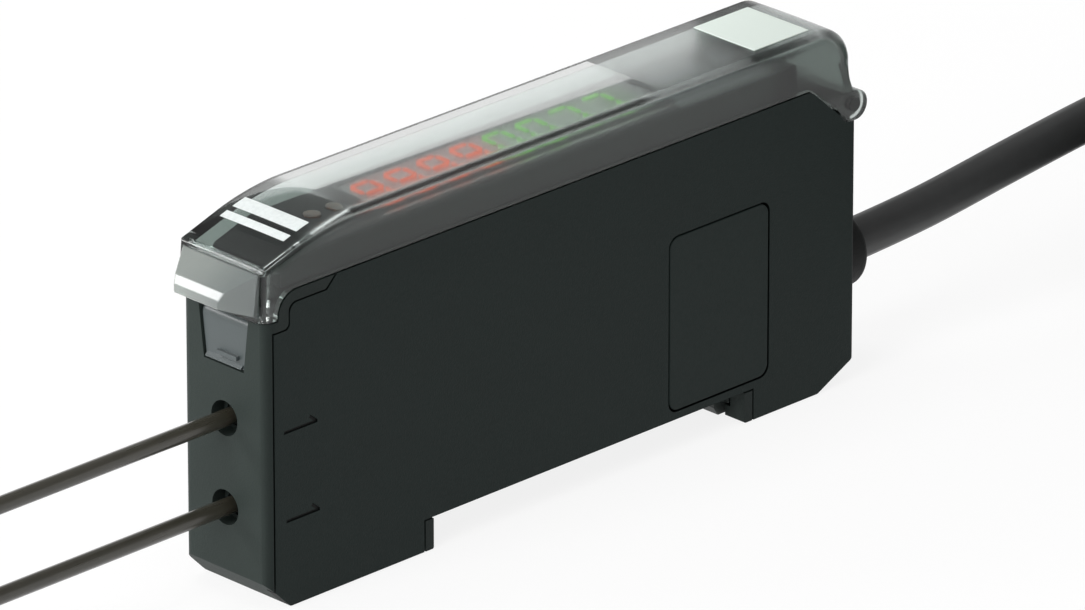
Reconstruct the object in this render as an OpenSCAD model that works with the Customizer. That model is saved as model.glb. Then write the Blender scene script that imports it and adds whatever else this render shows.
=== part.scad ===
// Slim rail-mounted fibre optic sensor amplifier with a hinged see-through cover.
// X runs from the fibre face to the cable face, Y across the unit, Z up.
// The origin is the middle of the seat that lies on the 35 mm rail.
// Inside the modules, x is measured from the fibre face and z from the feet.

/* [Case] */
// Length of the case from its fibre face to its cable face
body_len = 66.5; // [65:0.5:72]
// Width of the case
body_w = 9.8; // [9.6:0.1:12]
// Height of the case's top edge above its feet
case_h = 27.1; // [26.8:0.1:28.5]
// Thickness of the far wall and of the snap-on side panel
wall = 1; // [0.8:0.1:1.1]
// Thickness of the floor over the rail seat
floor_t = 1.2; // [1:0.1:1.8]
// Radius of the upright edges
edge_r = 1; // [0.3:0.1:1.2]
// Leg of the slanted cut under the fibre face
toe_cut = 2.4; // [1:0.1:3.5]
// Run of the slanted cut under the cable face
heel_run = 4.3; // [1:0.1:4.5]
// Rise of the slanted cut under the cable face
heel_rise = 2.1; // [0.5:0.1:3]
// Width of the joint line round the side panel and the windows
seam = 0.15; // [0.05:0.01:0.2]

/* [Rail] */
// Gap between the foot and the hook, for a 35 mm rail
rail_gap = 35.4; // [35.2:0.1:36]
// Length of the rear foot, which holds the hook
rear_foot = 12.85; // [12.5:0.05:14]
// Depth of the rail channel
foot_h = 2.8; // [2.5:0.1:3.2]
// Reach of the lips that hold the rail
lip_reach = 1; // [0.6:0.1:1.2]
// Height of the lips
lip_h = 1.5; // [1:0.1:1.6]
// Width of the lips and of the hook
lip_w = 5; // [4:0.1:5.4]
// Travel of the hook when the rail snaps in
hook_travel = 1.5; // [1:0.1:1.8]

/* [Cover] */
// Height of the cover's flat top above the case's top edge
cover_h = 4.7; // [4.4:0.1:5.8]
// Thickness of the cover's walls
cover_wall = 0.9; // [0.7:0.05:0.95]
// Gap between the cover's edge and the case
cover_gap = 0.15; // [0.1:0.05:0.25]
// Angle of the slope over the fibre end
slope_deg = 17.5; // [12:0.5:20]
// Radius of the bend from the slope to the flat top
slope_r = 20.7; // [16:0.1:26]
// Place where the flat top ends, behind the fibre face
slope_x = 10.6; // [10:0.1:13]
// Radius of the cover's long top edges
top_r = 1.15; // [0.8:0.05:1.4]
// Depth of the cover's front skirt below the case's top edge
skirt_drop = 2.1; // [1.9:0.05:2.3]
// Depth of the hinge axis below the case's top edge
hinge_drop = 2.6; // [2.4:0.1:2.8]
// Radius of the hinge barrels
barrel_r = 1.3; // [1.2:0.05:1.35]
// Radius of the hinge pins
pin_r = 0.6; // [0.4:0.05:0.7]
// Running clearance of pins in their bores
pin_gap = 0.05; // [0.02:0.01:0.08]
// Reach of the thumb tab
tab_reach = 2.3; // [1.5:0.1:3]
// Length of the white label on the cover
label_len = 6.3; // [4:0.1:6.4]

/* [Fibres] */
// Height of the upper fibre
fibre_z_upper = 15.5; // [15.2:0.1:16]
// Height of the lower fibre
fibre_z_lower = 7.8; // [7.4:0.1:8.2]
// Diameter of a fibre
fibre_d = 1.4; // [1:0.1:1.6]
// Diameter of the fibre holes' mouths
mouth_d = 3; // [2.6:0.1:3.6]
// Depth of the mouths
mouth_depth = 1.4; // [0.8:0.1:1.8]
// Outer diameter of the fibre sleeves
sleeve_d = 2.2; // [2:0.05:2.4]
// Width of the lock lever at its lower edge
lever_w_low = 4.3; // [3.6:0.1:4.8]
// Width of the lock lever at the cover's skirt
lever_w_top = 5.7; // [5:0.1:6]
// Length of the lock lever below the cover's skirt
lever_len = 4.65; // [4.1:0.05:5.2]

/* [Panel and keys] */
// Depth of the operating panel's face below the cover's flat top
panel_drop = 2.2; // [2:0.1:2.4]
// Start of the display window behind the fibre face
display_x = 14.6; // [14.2:0.1:15]
// Length of the key area behind the display window
key_zone = 13.4; // [13:0.1:15]
// Width of the panel's frame beside the display window
display_frame = 0.8; // [0.75:0.05:1.2]
// Height of the keys above the panel
key_rise = 0.45; // [0.2:0.05:0.5]
// Travel of the set button
key_travel = 0.25; // [0.15:0.05:0.3]
// Travel of the mode switch
switch_travel = 1.8; // [1:0.1:1.9]

/* [Cable] */
// Diameter of the output cable
cable_d = 3.6; // [3:0.1:4.2]
// Height of the cable gland
gland_z = 9.6; // [9:0.1:11]
// Radius of the gland
gland_r = 3.4; // [2.8:0.1:3.8]
// Reach of the gland behind the case
gland_reach = 3.5; // [2:0.1:5]

/* [Hidden] */
$fn = 48;
cut = 1;
fuse = 0.1;
play = 0.1;
hook_x = body_len - rear_foot;
front_foot = hook_x - rail_gap;
seat_x = front_foot + rail_gap / 2;
inner_y = body_w / 2 - wall;
fibre_zs = [fibre_z_upper, fibre_z_lower];

// Heights above the feet
cover_top = case_h + cover_h;
skirt_z = case_h - skirt_drop;
hinge_z = case_h - hinge_drop;
panel_z = cover_top - panel_drop;

// Case: shoulder under the cover's skirt, knee and slope at the hinge
skirt_x = 1.2;
shoulder_x = skirt_x + cover_gap;
shoulder_r = 2.05;
ledge_z = skirt_z - cover_gap;
hinge_x = body_len - 0.1;
knee_x = body_len - 5.3;
knee_r = 1.2;
slope_end = [body_len - 2.1, hinge_z - 0.3];
front_block = 14;
rear_wall = 1.6;
rear_room_z = slope_end.y - 2.6;
top_pocket = [5, knee_x - 0.6];
pocket_z = case_h - 1.5;
rib_z = pocket_z - 2;
rib_h = 1;
rib_w = 0.9;
post_r = 1.2;

// Side panel: front joint line and the stepped notch beside the cover
seam_x = 0.85;
notch_low = [seam_x, ledge_z - 1];
notch_high = [2.6, case_h - 1.1];
notch_end = 6.65;
strip_w = 1.05;

// Link windows in both sides
window_x = [body_len - 21.55, body_len - 10.2];
window_z = [3.6, 18.9];
window_r = 1;
window_t = 0.8;

// Insertion marks on the side panel
mark_w = 0.28;
mark_depth = 0.15;

// Cover: front wall, rear wall and ears
front_lean = 0.4;
front_wall = 1;
cover_rear = body_len - 0.95;
ear_y = body_w / 2 - cover_wall;
ear_gap = 0.1;
lug_w = 2 * (ear_y - 2 * ear_gap);
lug_r = barrel_r - 0.1;
bend_steps = 6;
inner_corner_r = 0.3;
tab_half = [4.1, 2.7];
tab_root_z = [skirt_z + 0.2, skirt_z + 4.05];
tab_tip_z = [skirt_z + 1.4, skirt_z + 2.4];
label_t = 0.1;
label_margin = 1.4;
label_end = cover_rear - 3.3;

// Lock lever and fibre clamp
lever_z = ledge_z - lever_len;
lever_hub_r = 1;
lever_face = 0.2;
lever_axis = [lever_face + lever_hub_r, ledge_z - lever_hub_r - 0.15];
lever_t = 1.1;
lever_pin_r = 0.4;
lever_pin_y = lever_w_top / 2 + 0.8;
lever_play = 0.13;
lever_lip = 0.3;
ridge_t = 0.35;
ridge_up = 0.9;
ridge_y = [-1.6, 0.7];
lobe_r = 0.5;
lobe_at = [1.6, -1];
clamp_t = 1.2;
clamp_w = 3.4;
clamp_x = lever_axis.x + lobe_at.x - 0.2;
clamp_play = 0.25;
clamp_drop = 0.6;
clamp_slot_r = sleeve_d / 2 + 0.2;
clamp_top = lever_axis.y + lobe_at.y - lobe_r - clamp_play;
clamp_bottom = fibre_z_lower - clamp_slot_r - 0.9;
lobe_top = lever_axis.y + lobe_r + play;
lobe_bottom = clamp_top - clamp_drop - lobe_r - play;

// Optics behind the fibres
fibre_end_x = 10.95;
optic_r = 1.5;
optic_x = fibre_end_x + 1.95;
optic_play = 0.1;
flange_r = optic_r + 0.3;

// Boards
board_t = 1;
board_y = 1.3;
board_x = [front_block + 2, body_len - 4];
board_z = [foot_h + floor_t + 0.6, rib_z - play];
chip_t = 0.9;
chips = [[board_x[0] + 10, board_z[1] - 6.5, 5, 5], [board_x[0] + 4.5, board_z[0] + 4.4, 3, 4],
    [board_x[1] - 16.5, board_z[0] + 4.4, 4, 3], [board_x[1] - 8.5, board_z[1] - 5.5, 4, 5]];
post_xs = [board_x[0] + 3, window_x[0] - 4, board_x[1] - 3];
post_zs = [board_z[0] + 2.5, board_z[1] - 2.5];
key_board_x = [front_block + 1, knee_x - 1.4];
key_board_z = rib_z + rib_h;
key_board_t = 0.8;
key_board_top = key_board_z + key_board_t;
key_board_w = 2 * (inner_y - 0.5);

// Operating panel and what stands in it
panel_play = 0.2;
panel_t = 1;
panel_x = [top_pocket[0] + panel_play, top_pocket[1] - panel_play];
panel_flange_y = inner_y - 0.1;
panel_y = ear_y - 0.45;
panel_under = panel_z - panel_t;
panel_wall = 0.55;
panel_lip = 1;
panel_tip_x = skirt_x + 1.2;
panel_tip_drop = 1.9;
window_play = 0.1;
display_w = 2 * (panel_y - display_frame);
display_len = panel_x[1] - key_zone - display_x;
rocker_x = panel_x[1] - key_zone + 3.7;
rocker_size = [5, 3.5];
rocker_dip = 0.15;
rocker_pin_z = panel_under - 0.5;
rocker_pin_r = 0.4;
rocker_pin_y = panel_y - 0.3;
button_x = rocker_x + 5;
button_r = 1.15;
switch_x = button_x + 2.9;
switch_knob = 1;
key_play = 0.2;
key_foot_z = panel_under - 0.65;
switch_plunger_z = key_foot_z - key_travel - 0.05;
tact_size = 2.4;
tact_xs = [rocker_x - 1.4, rocker_x + 1.4, button_x];
lens_xs = [panel_x[0] + 4.6, panel_x[0] + 7];
lens_r = 0.7;

// Rail hook in its slide, and its spring
slide_z = [1, 2];
slide_step = 0.6;
slide_play = 0.15;
slide_end = body_len - 5;
hook_len = slide_end - hook_x - hook_travel - 0.4;
spring_z = slide_z[0] + 0.1;
spring_r = 0.55;
spring_wire = 0.2;
spring_turns = 6;
spring_pocket = 3;

// Cable gland and the cable's cores
gland_neck_r = 2.5;
gland_flange_r = gland_neck_r + 0.6;
gland_flange_t = 1;
gland_socket = 2.2;
core_r = 0.3;
core_step = 1.2;

// Cords lie on the surface under the feet. Points are in the part's own frame.
cord_sides = 8;
port_x = fibre_end_x - seat_x;
port_zs = [fibre_z_upper - foot_h, fibre_z_lower - foot_h];
face_x = -seat_x - 3;
gland_port = [body_len + gland_reach - gland_socket - seat_x, 0, gland_z - foot_h];
coil_xs = [-107, -82.9];
lower_route = [[port_x, 0, port_zs[1]], [face_x, 0, port_zs[1]], [-50, 0, 5], [-66, 0, 5],
    [coil_xs[1], 0, 5]];
upper_route = [[port_x, 0, port_zs[0]], [face_x, 0, port_zs[0]], [-52, 0, 12.7], [-70, 0, 12.6],
    [-84, 0, 11.8], [-94, 0, 9], [-101, 0, 6], [coil_xs[0], 0, 5]];
cable_route = [gland_port, gland_port + [3, 0, 0], [44, 0, 7.3], [54, 0, 8.4], [64, 0, 9.4],
    [75, 0, 10.15]];
coil_r = 8.4;
coil_lanes = [5, 8];
lane_step = 1.45;
coil_edge_r = 1.5;
coil_out_r = coil_r + coil_lanes[0] * lane_step / 2;
coil_in_r = coil_r - coil_lanes[0] * lane_step / 2;
coil_h = coil_lanes[1] * lane_step;
coil_y = -coil_out_r + lane_step / 2;
head_r = 2;
head_len = 10;
head_boot_r = 1.1;
head_boot_len = 3.5;
head_lift = 0.05;
hank_lanes = [2, 7];
hank_step = 3.7;
hank_end_r = 18;
hank_in_r = hank_end_r - hank_lanes[0] * hank_step;
hank_x = [57, 117];
hank_h = hank_lanes[1] * hank_step;
hank_y = -hank_end_r + hank_step / 2;

// Outlines are lists of [x, z, radius]: each corner is rounded by its radius.
function unit(v) = v / norm(v);
function xz(p) = [p[0], p[1]];
function around(c, half) = [c - half, c + half];
function turn_of(a) = (a + 540) % 360 - 180;
function fillet(a, b, c, r, n = 6) =
    let (u = unit(a - b), v = unit(c - b), half = acos(u * v) / 2)
    let (centre = b + unit(u + v) * r / sin(half))
    let (s = b + u * r / tan(half) - centre, e = b + v * r / tan(half) - centre)
    let (start = atan2(s[1], s[0]), turn = turn_of(atan2(e[1], e[0]) - start))
    [for (i = [0:n]) centre + r * [cos(start + turn * i / n), sin(start + turn * i / n)]];
function rounded(p) = [for (i = [0:len(p) - 1])
    each p[i][2] == 0 ? [xz(p[i])]
        : fillet(xz(p[(i + len(p) - 1) % len(p)]), xz(p[i]), xz(p[(i + 1) % len(p)]), p[i][2])];

// A tube through hand-chosen points, smoothed between them
function spline(p, i, t) =
    let (a = p[max(i - 1, 0)], b = p[i], c = p[i + 1], d = p[min(i + 2, len(p) - 1)])
    0.5 * (2 * b + (c - a) * t + (2 * a - 5 * b + 4 * c - d) * t * t + (3 * b - a - 3 * c + d) * t * t * t);
function smooth(p, n) = concat([for (i = [0:len(p) - 2]) for (k = [0:n - 1]) spline(p, i, k / n)],
    [p[len(p) - 1]]);
function heading(p, i) = unit(p[min(i + 1, len(p) - 1)] - p[max(i - 1, 0)]);
function ring(p, i, r, sides) =
    let (along = heading(p, i), side = unit(cross(abs(along[2]) > 0.9 ? [1, 0, 0] : [0, 0, 1], along)))
    let (up = cross(along, side))
    [for (k = [0:sides - 1]) p[i] + r * (cos(360 * k / sides) * side + sin(360 * k / sides) * up)];

module tube(p, r, sides) {
    last = len(p) - 1;
    polyhedron(
        points = [for (i = [0:last]) each ring(p, i, r, sides)],
        faces = concat(
            [[for (k = [0:sides - 1]) k]],
            [for (i = [0:last - 1]) for (k = [0:sides - 1])
                let (a = i * sides, b = a + sides, n = (k + 1) % sides) [a + k, b + k, b + n, a + n]],
            [[for (k = [sides - 1:-1:0]) last * sides + k]]));
}

// Moves a module's x and z from the fibre face and the feet to the part's own frame
module placed() translate([-seat_x, 0, -foot_h]) children();

// A plate with the given outline in x and z, between two y values
module slab(outline, y) {
    translate([0, y[1], 0]) rotate([90, 0, 0]) linear_extrude(y[1] - y[0]) polygon(outline);
}

// A box between two corners
module block(x, y, z) translate([x[0], y[0], z[0]]) cube([x[1] - x[0], y[1] - y[0], z[1] - z[0]]);

// A round bar along x or along y
module bar_x(r, x, y, z) translate([x[0], y, z]) rotate([0, 90, 0]) cylinder(r = r, h = x[1] - x[0]);
module bar_y(r, x, y, z) translate([x, y[0], z]) rotate([-90, 0, 0]) cylinder(r = r, h = y[1] - y[0]);

case_outline = rounded([
    [0, toe_cut, 0.4], [toe_cut, 0, 0.4], [front_foot, 0, 0.15], [front_foot, foot_h, 0],
    [hook_x, foot_h, 0], [hook_x, 0, 0.15], [body_len - heel_run, 0, 0.5], [body_len, heel_rise, 0.4],
    [body_len, hinge_z - barrel_r - cover_gap, 0], [slope_end.x, slope_end.y, 0], [knee_x, case_h, knee_r],
    [shoulder_x, case_h, shoulder_r], [shoulder_x, ledge_z, 0], [0, ledge_z, 0.15]]);

// The case's outer form: its side outline with rounded upright edges
module case_form() {
    half = body_w / 2;
    intersection() {
        slab(case_outline, [-half, half]);
        linear_extrude(case_h + cut) polygon(rounded([[0, -half, edge_r], [body_len, -half, edge_r / 2],
            [body_len, half, edge_r / 2], [0, half, edge_r]]));
    }
}

// The part of the near side that the snap-on panel covers, grown by g at its joint lines
module panel_region(g, y) {
    top = case_h + 2 * cut;
    difference() {
        slab(rounded([[notch_low.x - g, -cut, 0], [notch_low.x - g, notch_low.y + g, 0],
            [notch_high.x - g, notch_low.y + g, 0.5], [notch_high.x - g, notch_high.y + g, 0.8],
            [notch_end - g, notch_high.y + g, 0.2], [notch_end + top - notch_high.y - g, top, 0],
            [body_len + cut, top, 0], [body_len + cut, -cut, 0]]), y);
        for (x = [[front_foot - strip_w + g, front_foot + cut], [hook_x - cut, hook_x + strip_w - g]])
            block(x, [y[0] - cut, y[1] + cut], [-2 * cut, foot_h - g]);
    }
}

// A link window's outline, grown by g, between two y values
module window_form(g, y) {
    x = [window_x[0] - g, window_x[1] + g];
    z = [window_z[0] - g, window_z[1] + g];
    slab(rounded([[x[0], z[0], window_r], [x[1], z[0], window_r], [x[1], z[1], window_r],
        [x[0], z[1], window_r]]), y);
}

// Room for the cover's hinge barrels, on both sides
module barrel_room() {
    room = barrel_r + cover_gap;
    bar_y(room, hinge_x, [ear_y - ear_gap, body_w], hinge_z);
    bar_y(room, hinge_x, [-body_w, ear_gap - ear_y], hinge_z);
}

// The lever's tapered outline, grown by g, through the front wall
module lever_form(g, x) {
    translate([x[0], 0, 0]) rotate([90, 0, 90]) linear_extrude(x[1] - x[0]) polygon([
        [-lever_w_low / 2 - g, lever_z - g], [lever_w_low / 2 + g, lever_z - g],
        [lever_w_top / 2 + g, ledge_z + cut], [-lever_w_top / 2 - g, ledge_z + cut]]);
}

// The T-shaped slide under the heel, grown by g
module slide_form(g, x) {
    block(x, [-lip_w / 2 - g, lip_w / 2 + g], [-cut, slide_z[0] + g]);
    block(x, [-lip_w / 2 - slide_step - g, lip_w / 2 + slide_step + g], [slide_z[0], slide_z[1] + g]);
}

// A lip that reaches under the rail's edge, with a sloped lead-in below
module lip(reach, z) {
    rotate([90, 0, 0]) linear_extrude(lip_w, center = true)
        polygon([[0, z], [reach / 2, z], [reach, z + lip_h / 2], [reach, lip_h], [0, lip_h]]);
}

module case_cuts() {
    rear_x = body_len - rear_wall;
    // Side panel seat and the room inside
    panel_region(seam, [-body_w, -inner_y]);
    slab([[front_block, foot_h + floor_t], [rear_x, foot_h + floor_t], [rear_x, rear_room_z],
        [top_pocket[1], pocket_z + fuse], [front_block, pocket_z + fuse]], [-inner_y - cut, inner_y]);
    block(top_pocket, [-inner_y, inner_y], [pocket_z, case_h + cut]);
    // Fibre mouths, bores and optics
    for (z = fibre_zs) {
        bar_x(mouth_d / 2, [-cut, mouth_depth], 0, z);
        bar_x(sleeve_d / 2 + pin_gap, [0, fibre_end_x], 0, z);
        bar_x(optic_r + optic_play, [fibre_end_x - 1, front_block + cut], 0, z);
    }
    // Lever recess, lever bearings and clamp slot
    lever_form(lever_play, [-cut, lever_axis.x + lever_hub_r + lever_play]);
    bar_y(lever_pin_r + pin_gap, lever_axis.x, around(0, lever_pin_y + play), lever_axis.y);
    block([clamp_x - play, clamp_x + clamp_t + play], around(0, clamp_w / 2 + play),
        [clamp_bottom - clamp_drop - play, lobe_top]);
    block([lever_axis.x, clamp_x], around(0, clamp_w / 2 + play), [lobe_bottom, lobe_top]);
    // Far link window, gland hole, hook slide and hinge
    window_form(seam, [inner_y - cut, body_w]);
    bar_x(gland_neck_r + pin_gap, [rear_x - cut, body_len + cut], 0, gland_z);
    slide_form(slide_play, [hook_x - cut, slide_end]);
    barrel_room();
}

module main_case() {
    color("#3c4343") placed() {
        difference() {
            case_form();
            case_cuts();
        }
        // Hinge lug with its pins, and the fixed lip of the front foot
        difference() {
            union() {
                bar_y(lug_r, hinge_x, [-lug_w / 2, lug_w / 2], hinge_z);
                block([slope_end.x - 0.5, hinge_x], [-lug_w / 2, lug_w / 2], [hinge_z - 3, hinge_z]);
            }
            block([hinge_x, body_len + 3], [-body_w, body_w], [hinge_z - 4, hinge_z - lug_r]);
        }
        bar_y(pin_r, hinge_x, [-body_w / 2 + 0.15, body_w / 2 - 0.15], hinge_z);
        translate([front_foot, 0, 0]) lip(lip_reach, 0.2);
        // Rib for the key board and posts for the main board
        block([front_block, top_pocket[1]], [inner_y - rib_w, inner_y + fuse], [rib_z, rib_z + rib_h]);
        for (x = post_xs, z = post_zs) bar_y(post_r, x, [board_y + board_t, inner_y + fuse], z);
    }
}

module side_panel() {
    color("#2e3536") placed() difference() {
        intersection() {
            case_form();
            panel_region(0, [-body_w / 2 - cut, -inner_y]);
        }
        window_form(seam, [-body_w, -inner_y + cut]);
        barrel_room();
        // Insertion marks beside the fibres: a line and its end stroke
        for (i = [0, 1]) {
            block([1.85 + 0.2 * i, 5.5 + 0.2 * i], [-body_w, -body_w / 2 + mark_depth],
                around(fibre_zs[i] - 0.35, mark_w / 2));
            translate([5.4 + 0.2 * i, 0, fibre_zs[i] - 0.35]) rotate([0, 40, 0])
                block([-1, 0], [-body_w, -body_w / 2 + mark_depth], [-mark_w / 2, mark_w / 2]);
        }
    }
}

module link_window() {
    color("#1f2526") placed() window_form(0, [-body_w / 2, -body_w / 2 + window_t]);
}

module link_window_far() {
    color("#1f2526") placed() window_form(0, [body_w / 2 - window_t, body_w / 2]);
}

// Everything under the cover's roof, lowered by drop: a flat, a bend in short steps and a slope,
// all with the same rounded long edges
module cover_roof(half_w, drop, r) {
    top = slope_r - drop;
    translate([slope_x, 0, cover_top - slope_r]) intersection_for(i = [0:bend_steps])
        rotate([0, -slope_deg * i / bend_steps, 0]) rotate([90, 0, 90])
            linear_extrude(2 * body_len, center = true) polygon(rounded([[-half_w, top - body_len, 0],
                [half_w, top - body_len, 0], [half_w, top, r], [-half_w, top, r]]));
}

// Height of the roof's slope at x
function slope_z(x) = cover_top - slope_r + (slope_r - (slope_x - x) * sin(slope_deg)) / cos(slope_deg);
nose_x = 0.05;
nose_z = slope_z(nose_x);

cover_outline = rounded([
    [-front_lean, skirt_z, 0.15], [skirt_x, skirt_z, 0.15],
    [skirt_x, case_h + cover_gap, shoulder_r + cover_gap],
    [knee_x + cover_gap / 2, case_h + cover_gap, knee_r],
    [slope_end.x + cover_gap, slope_end.y + cover_gap, 0], [hinge_x - barrel_r, hinge_z - 0.4, 0],
    [hinge_x, hinge_z, 0], [hinge_x - 0.4, hinge_z + barrel_r, 0],
    [cover_rear, hinge_z + barrel_r + 0.5, 0.4], [cover_rear, cover_top, 1.6],
    [cover_rear - 3, cover_top + cut, 0], [0.6, cover_top + cut, 0], [0.6, nose_z + 0.25, 0],
    [nose_x, nose_z - 0.3, 0]]);

module cover_shell() {
    half = body_w / 2;
    rear = body_len + 2;
    inside = [front_wall - front_lean, cover_rear - front_wall];
    low = skirt_z - 3;
    open_z = hinge_z + barrel_r + 0.6;
    difference() {
        intersection() {
            slab(cover_outline, around(0, body_w));
            cover_roof(half, 0, top_r);
            translate([0, 0, low]) linear_extrude(cover_top) polygon(rounded([
                [-front_lean, -half, edge_r], [rear, -half - cut, 0], [rear, half + cut, 0],
                [-front_lean, half, edge_r]]));
        }
        // The room inside, open behind the rear wall between the ears
        intersection() {
            slab(rounded([[inside[0], low, 0], [rear, low, 0], [rear, open_z, 0], [inside[1], open_z, 0],
                [inside[1], cover_top, 1.2], [inside[0] + front_lean, cover_top, 0]]), around(0, body_w));
            cover_roof(ear_y, cover_wall, inner_corner_r);
        }
    }
}

// Thumb tab: a wedge that narrows and thins towards its tip
module thumb_tab() {
    tip = -tab_reach - front_lean;
    root = 0.3;
    intersection() {
        slab([[0, tab_root_z[0]], [tip, tab_tip_z[0]], [tip, tab_tip_z[1]], [0, tab_root_z[1]]],
            [-body_w / 2, body_w / 2]);
        translate([0, 0, skirt_z]) linear_extrude(cover_top - skirt_z) polygon(rounded([
            [root, -tab_half[0], 0], [root, tab_half[0], 0], [-front_lean, tab_half[0], 0],
            [tip, tab_half[1], 0.4], [tip, -tab_half[1], 0.4], [-front_lean, -tab_half[0], 0]]));
    }
}

module top_cover() {
    color("#8f9899", 0.5) placed() difference() {
        union() {
            cover_shell();
            thumb_tab();
            for (y = [[ear_y + fuse, body_w / 2], [-body_w / 2, -ear_y - fuse]])
                bar_y(barrel_r, hinge_x, y, hinge_z);
        }
        bar_y(pin_r + pin_gap, hinge_x, [-body_w, body_w], hinge_z);
    }
}

module cover_label() {
    half = body_w / 2 - label_margin;
    color("#e4ebe6") placed() block([label_end - label_len, label_end], [-half, half],
        [cover_top, cover_top + label_t]);
}

// The operating panel: a flanged hood with openings for the display and the keys
module operating_panel() {
    inside = [panel_x[0] + panel_lip, panel_x[1] - 0.7];
    tip_z = slope_z(panel_tip_x) - panel_tip_drop;
    bend_x = panel_tip_x + (panel_z - tip_z) / tan(slope_deg);
    through = [panel_under - cut, panel_z + cut];
    color("#23282a") placed() difference() {
        union() {
            block(panel_x, around(0, panel_flange_y), [pocket_z + play, case_h]);
            // Hood, with a nose that leans with the cover's slope and rests on the case
            slab(rounded([[panel_tip_x, case_h + pin_gap, 0], [panel_x[0], case_h + pin_gap, 0],
                [panel_x[0], case_h - fuse, 0], [panel_x[1], case_h - fuse, 0], [panel_x[1], panel_z, 0.4],
                [bend_x, panel_z, 0.6], [panel_tip_x, tip_z, 0.4]]), around(0, panel_y));
        }
        block(inside, around(0, panel_y - panel_wall), [pocket_z - cut, panel_under]);
        block([display_x, display_x + display_len], around(0, display_w / 2), through);
        block(around(rocker_x, rocker_size[0] / 2 + key_play), around(0, rocker_size[1] / 2 + key_play),
            through);
        bar_y(rocker_pin_r + pin_gap, rocker_x, around(0, rocker_pin_y + play), rocker_pin_z);
        translate([button_x, 0, through[0]]) cylinder(r = button_r + key_play / 2, h = panel_t + 2 * cut);
        block(around(switch_x, (switch_knob + key_play) / 2),
            around(0, (switch_travel + switch_knob) / 2 + key_play), through);
        for (x = lens_xs)
            translate([x, 0, through[0]]) cylinder(r = lens_r + pin_gap, h = panel_t + 2 * cut);
    }
}

module display_window() {
    color("#3a1517") placed() block([display_x + window_play, display_x + display_len - window_play],
        [-display_w / 2 + window_play, display_w / 2 - window_play], [panel_under, panel_z - 0.1]);
}

module display_module() {
    color("#15181a") placed() block([display_x + 0.4, display_x + display_len - 0.4],
        [-display_w / 2 - 0.1, display_w / 2 + 0.1], [key_board_top, panel_under]);
}

module indicator_lenses() {
    color("#d98a3a") placed() for (x = lens_xs) translate([x, 0, 0]) {
        translate([0, 0, panel_under - 0.5]) cylinder(r = lens_r + 0.4, h = 0.5);
        translate([0, 0, panel_under - 0.1]) cylinder(r = lens_r, h = panel_t + 0.2);
    }
}

// Two-way key on its own axle pins
module rocker_key() {
    x = around(rocker_x, rocker_size[0] / 2);
    top = panel_z + key_rise;
    color("#8d9496") placed() {
        slab(rounded([[x[0], key_foot_z, 0], [x[1], key_foot_z, 0], [x[1], top, 0.5],
            [rocker_x, top - rocker_dip, 0], [x[0], top, 0.5]]), around(0, rocker_size[1] / 2));
        bar_y(rocker_pin_r, rocker_x, around(0, rocker_pin_y), rocker_pin_z);
    }
}

module set_button() {
    foot_r = button_r + 0.45;
    foot_top = key_foot_z + 0.45;
    top = panel_z + key_rise;
    color("#8d9496") placed() translate([button_x, 0, 0]) rotate_extrude() polygon(rounded([
        [0, key_foot_z, 0], [foot_r, key_foot_z, 0], [foot_r, foot_top, 0], [button_r, foot_top, 0],
        [button_r, top, 0.3], [0, top, 0]]));
}

module mode_switch() {
    y = -switch_travel / 2;
    foot_top = panel_under - play;
    color("#c9cfd0") placed() {
        block(around(switch_x, switch_knob / 2), around(y, switch_knob / 2), [foot_top, panel_z + key_rise]);
        block(around(switch_x, switch_knob / 2 + 0.15), around(y, 1), [key_foot_z, foot_top]);
    }
}

module key_board() {
    color("#2c6b45") placed() block(key_board_x, around(0, key_board_w / 2), [key_board_z, key_board_top]);
}

module tact_switches() {
    body_top = switch_plunger_z - 0.4;
    color("#b9bcbc") placed() for (x = tact_xs) {
        block(around(x, tact_size / 2), around(0, tact_size / 2), [key_board_top, body_top]);
        translate([x, 0, key_board_top]) cylinder(r = 0.6, h = switch_plunger_z - key_board_top);
    }
}

module switch_base() {
    color("#15181a") placed()
        block(around(switch_x, 0.9), around(0, 2.4), [key_board_top, key_foot_z - play]);
}

module main_board() {
    color("#2c6b45") placed() block(board_x, [board_y, board_y + board_t], board_z);
}

// Processor, receiver amplifier, output driver and regulator on the main board
module board_chips() {
    color("#202426") placed() for (chip = chips)
        block(around(chip[0], chip[2] / 2), [board_y - chip_t, board_y], around(chip[1], chip[3] / 2));
}

// A domed optical device with its flange and two legs on the main board
module optic(z) {
    translate([optic_x, 0, z]) {
        rotate([0, 90, 0]) rotate_extrude() intersection() {
            circle(r = optic_r);
            translate([0, -optic_r]) square([optic_r, optic_r]);
        }
        rotate([0, 90, 0]) cylinder(r = optic_r, h = front_block - optic_x + 0.1);
        translate([front_block - optic_x + 0.1, 0, 0]) rotate([0, 90, 0]) cylinder(r = flange_r, h = 0.8);
        for (dz = [-0.7, 0.7])
            bar_x(0.3, [front_block - optic_x + 0.5, board_x[0] + 2.5 - optic_x], board_y - 0.3, dz);
    }
}

module emitter_led() {
    color("#c24540") placed() optic(fibre_z_lower);
}

module receiver_diode() {
    color("#39424a") placed() optic(fibre_z_upper);
}

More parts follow.
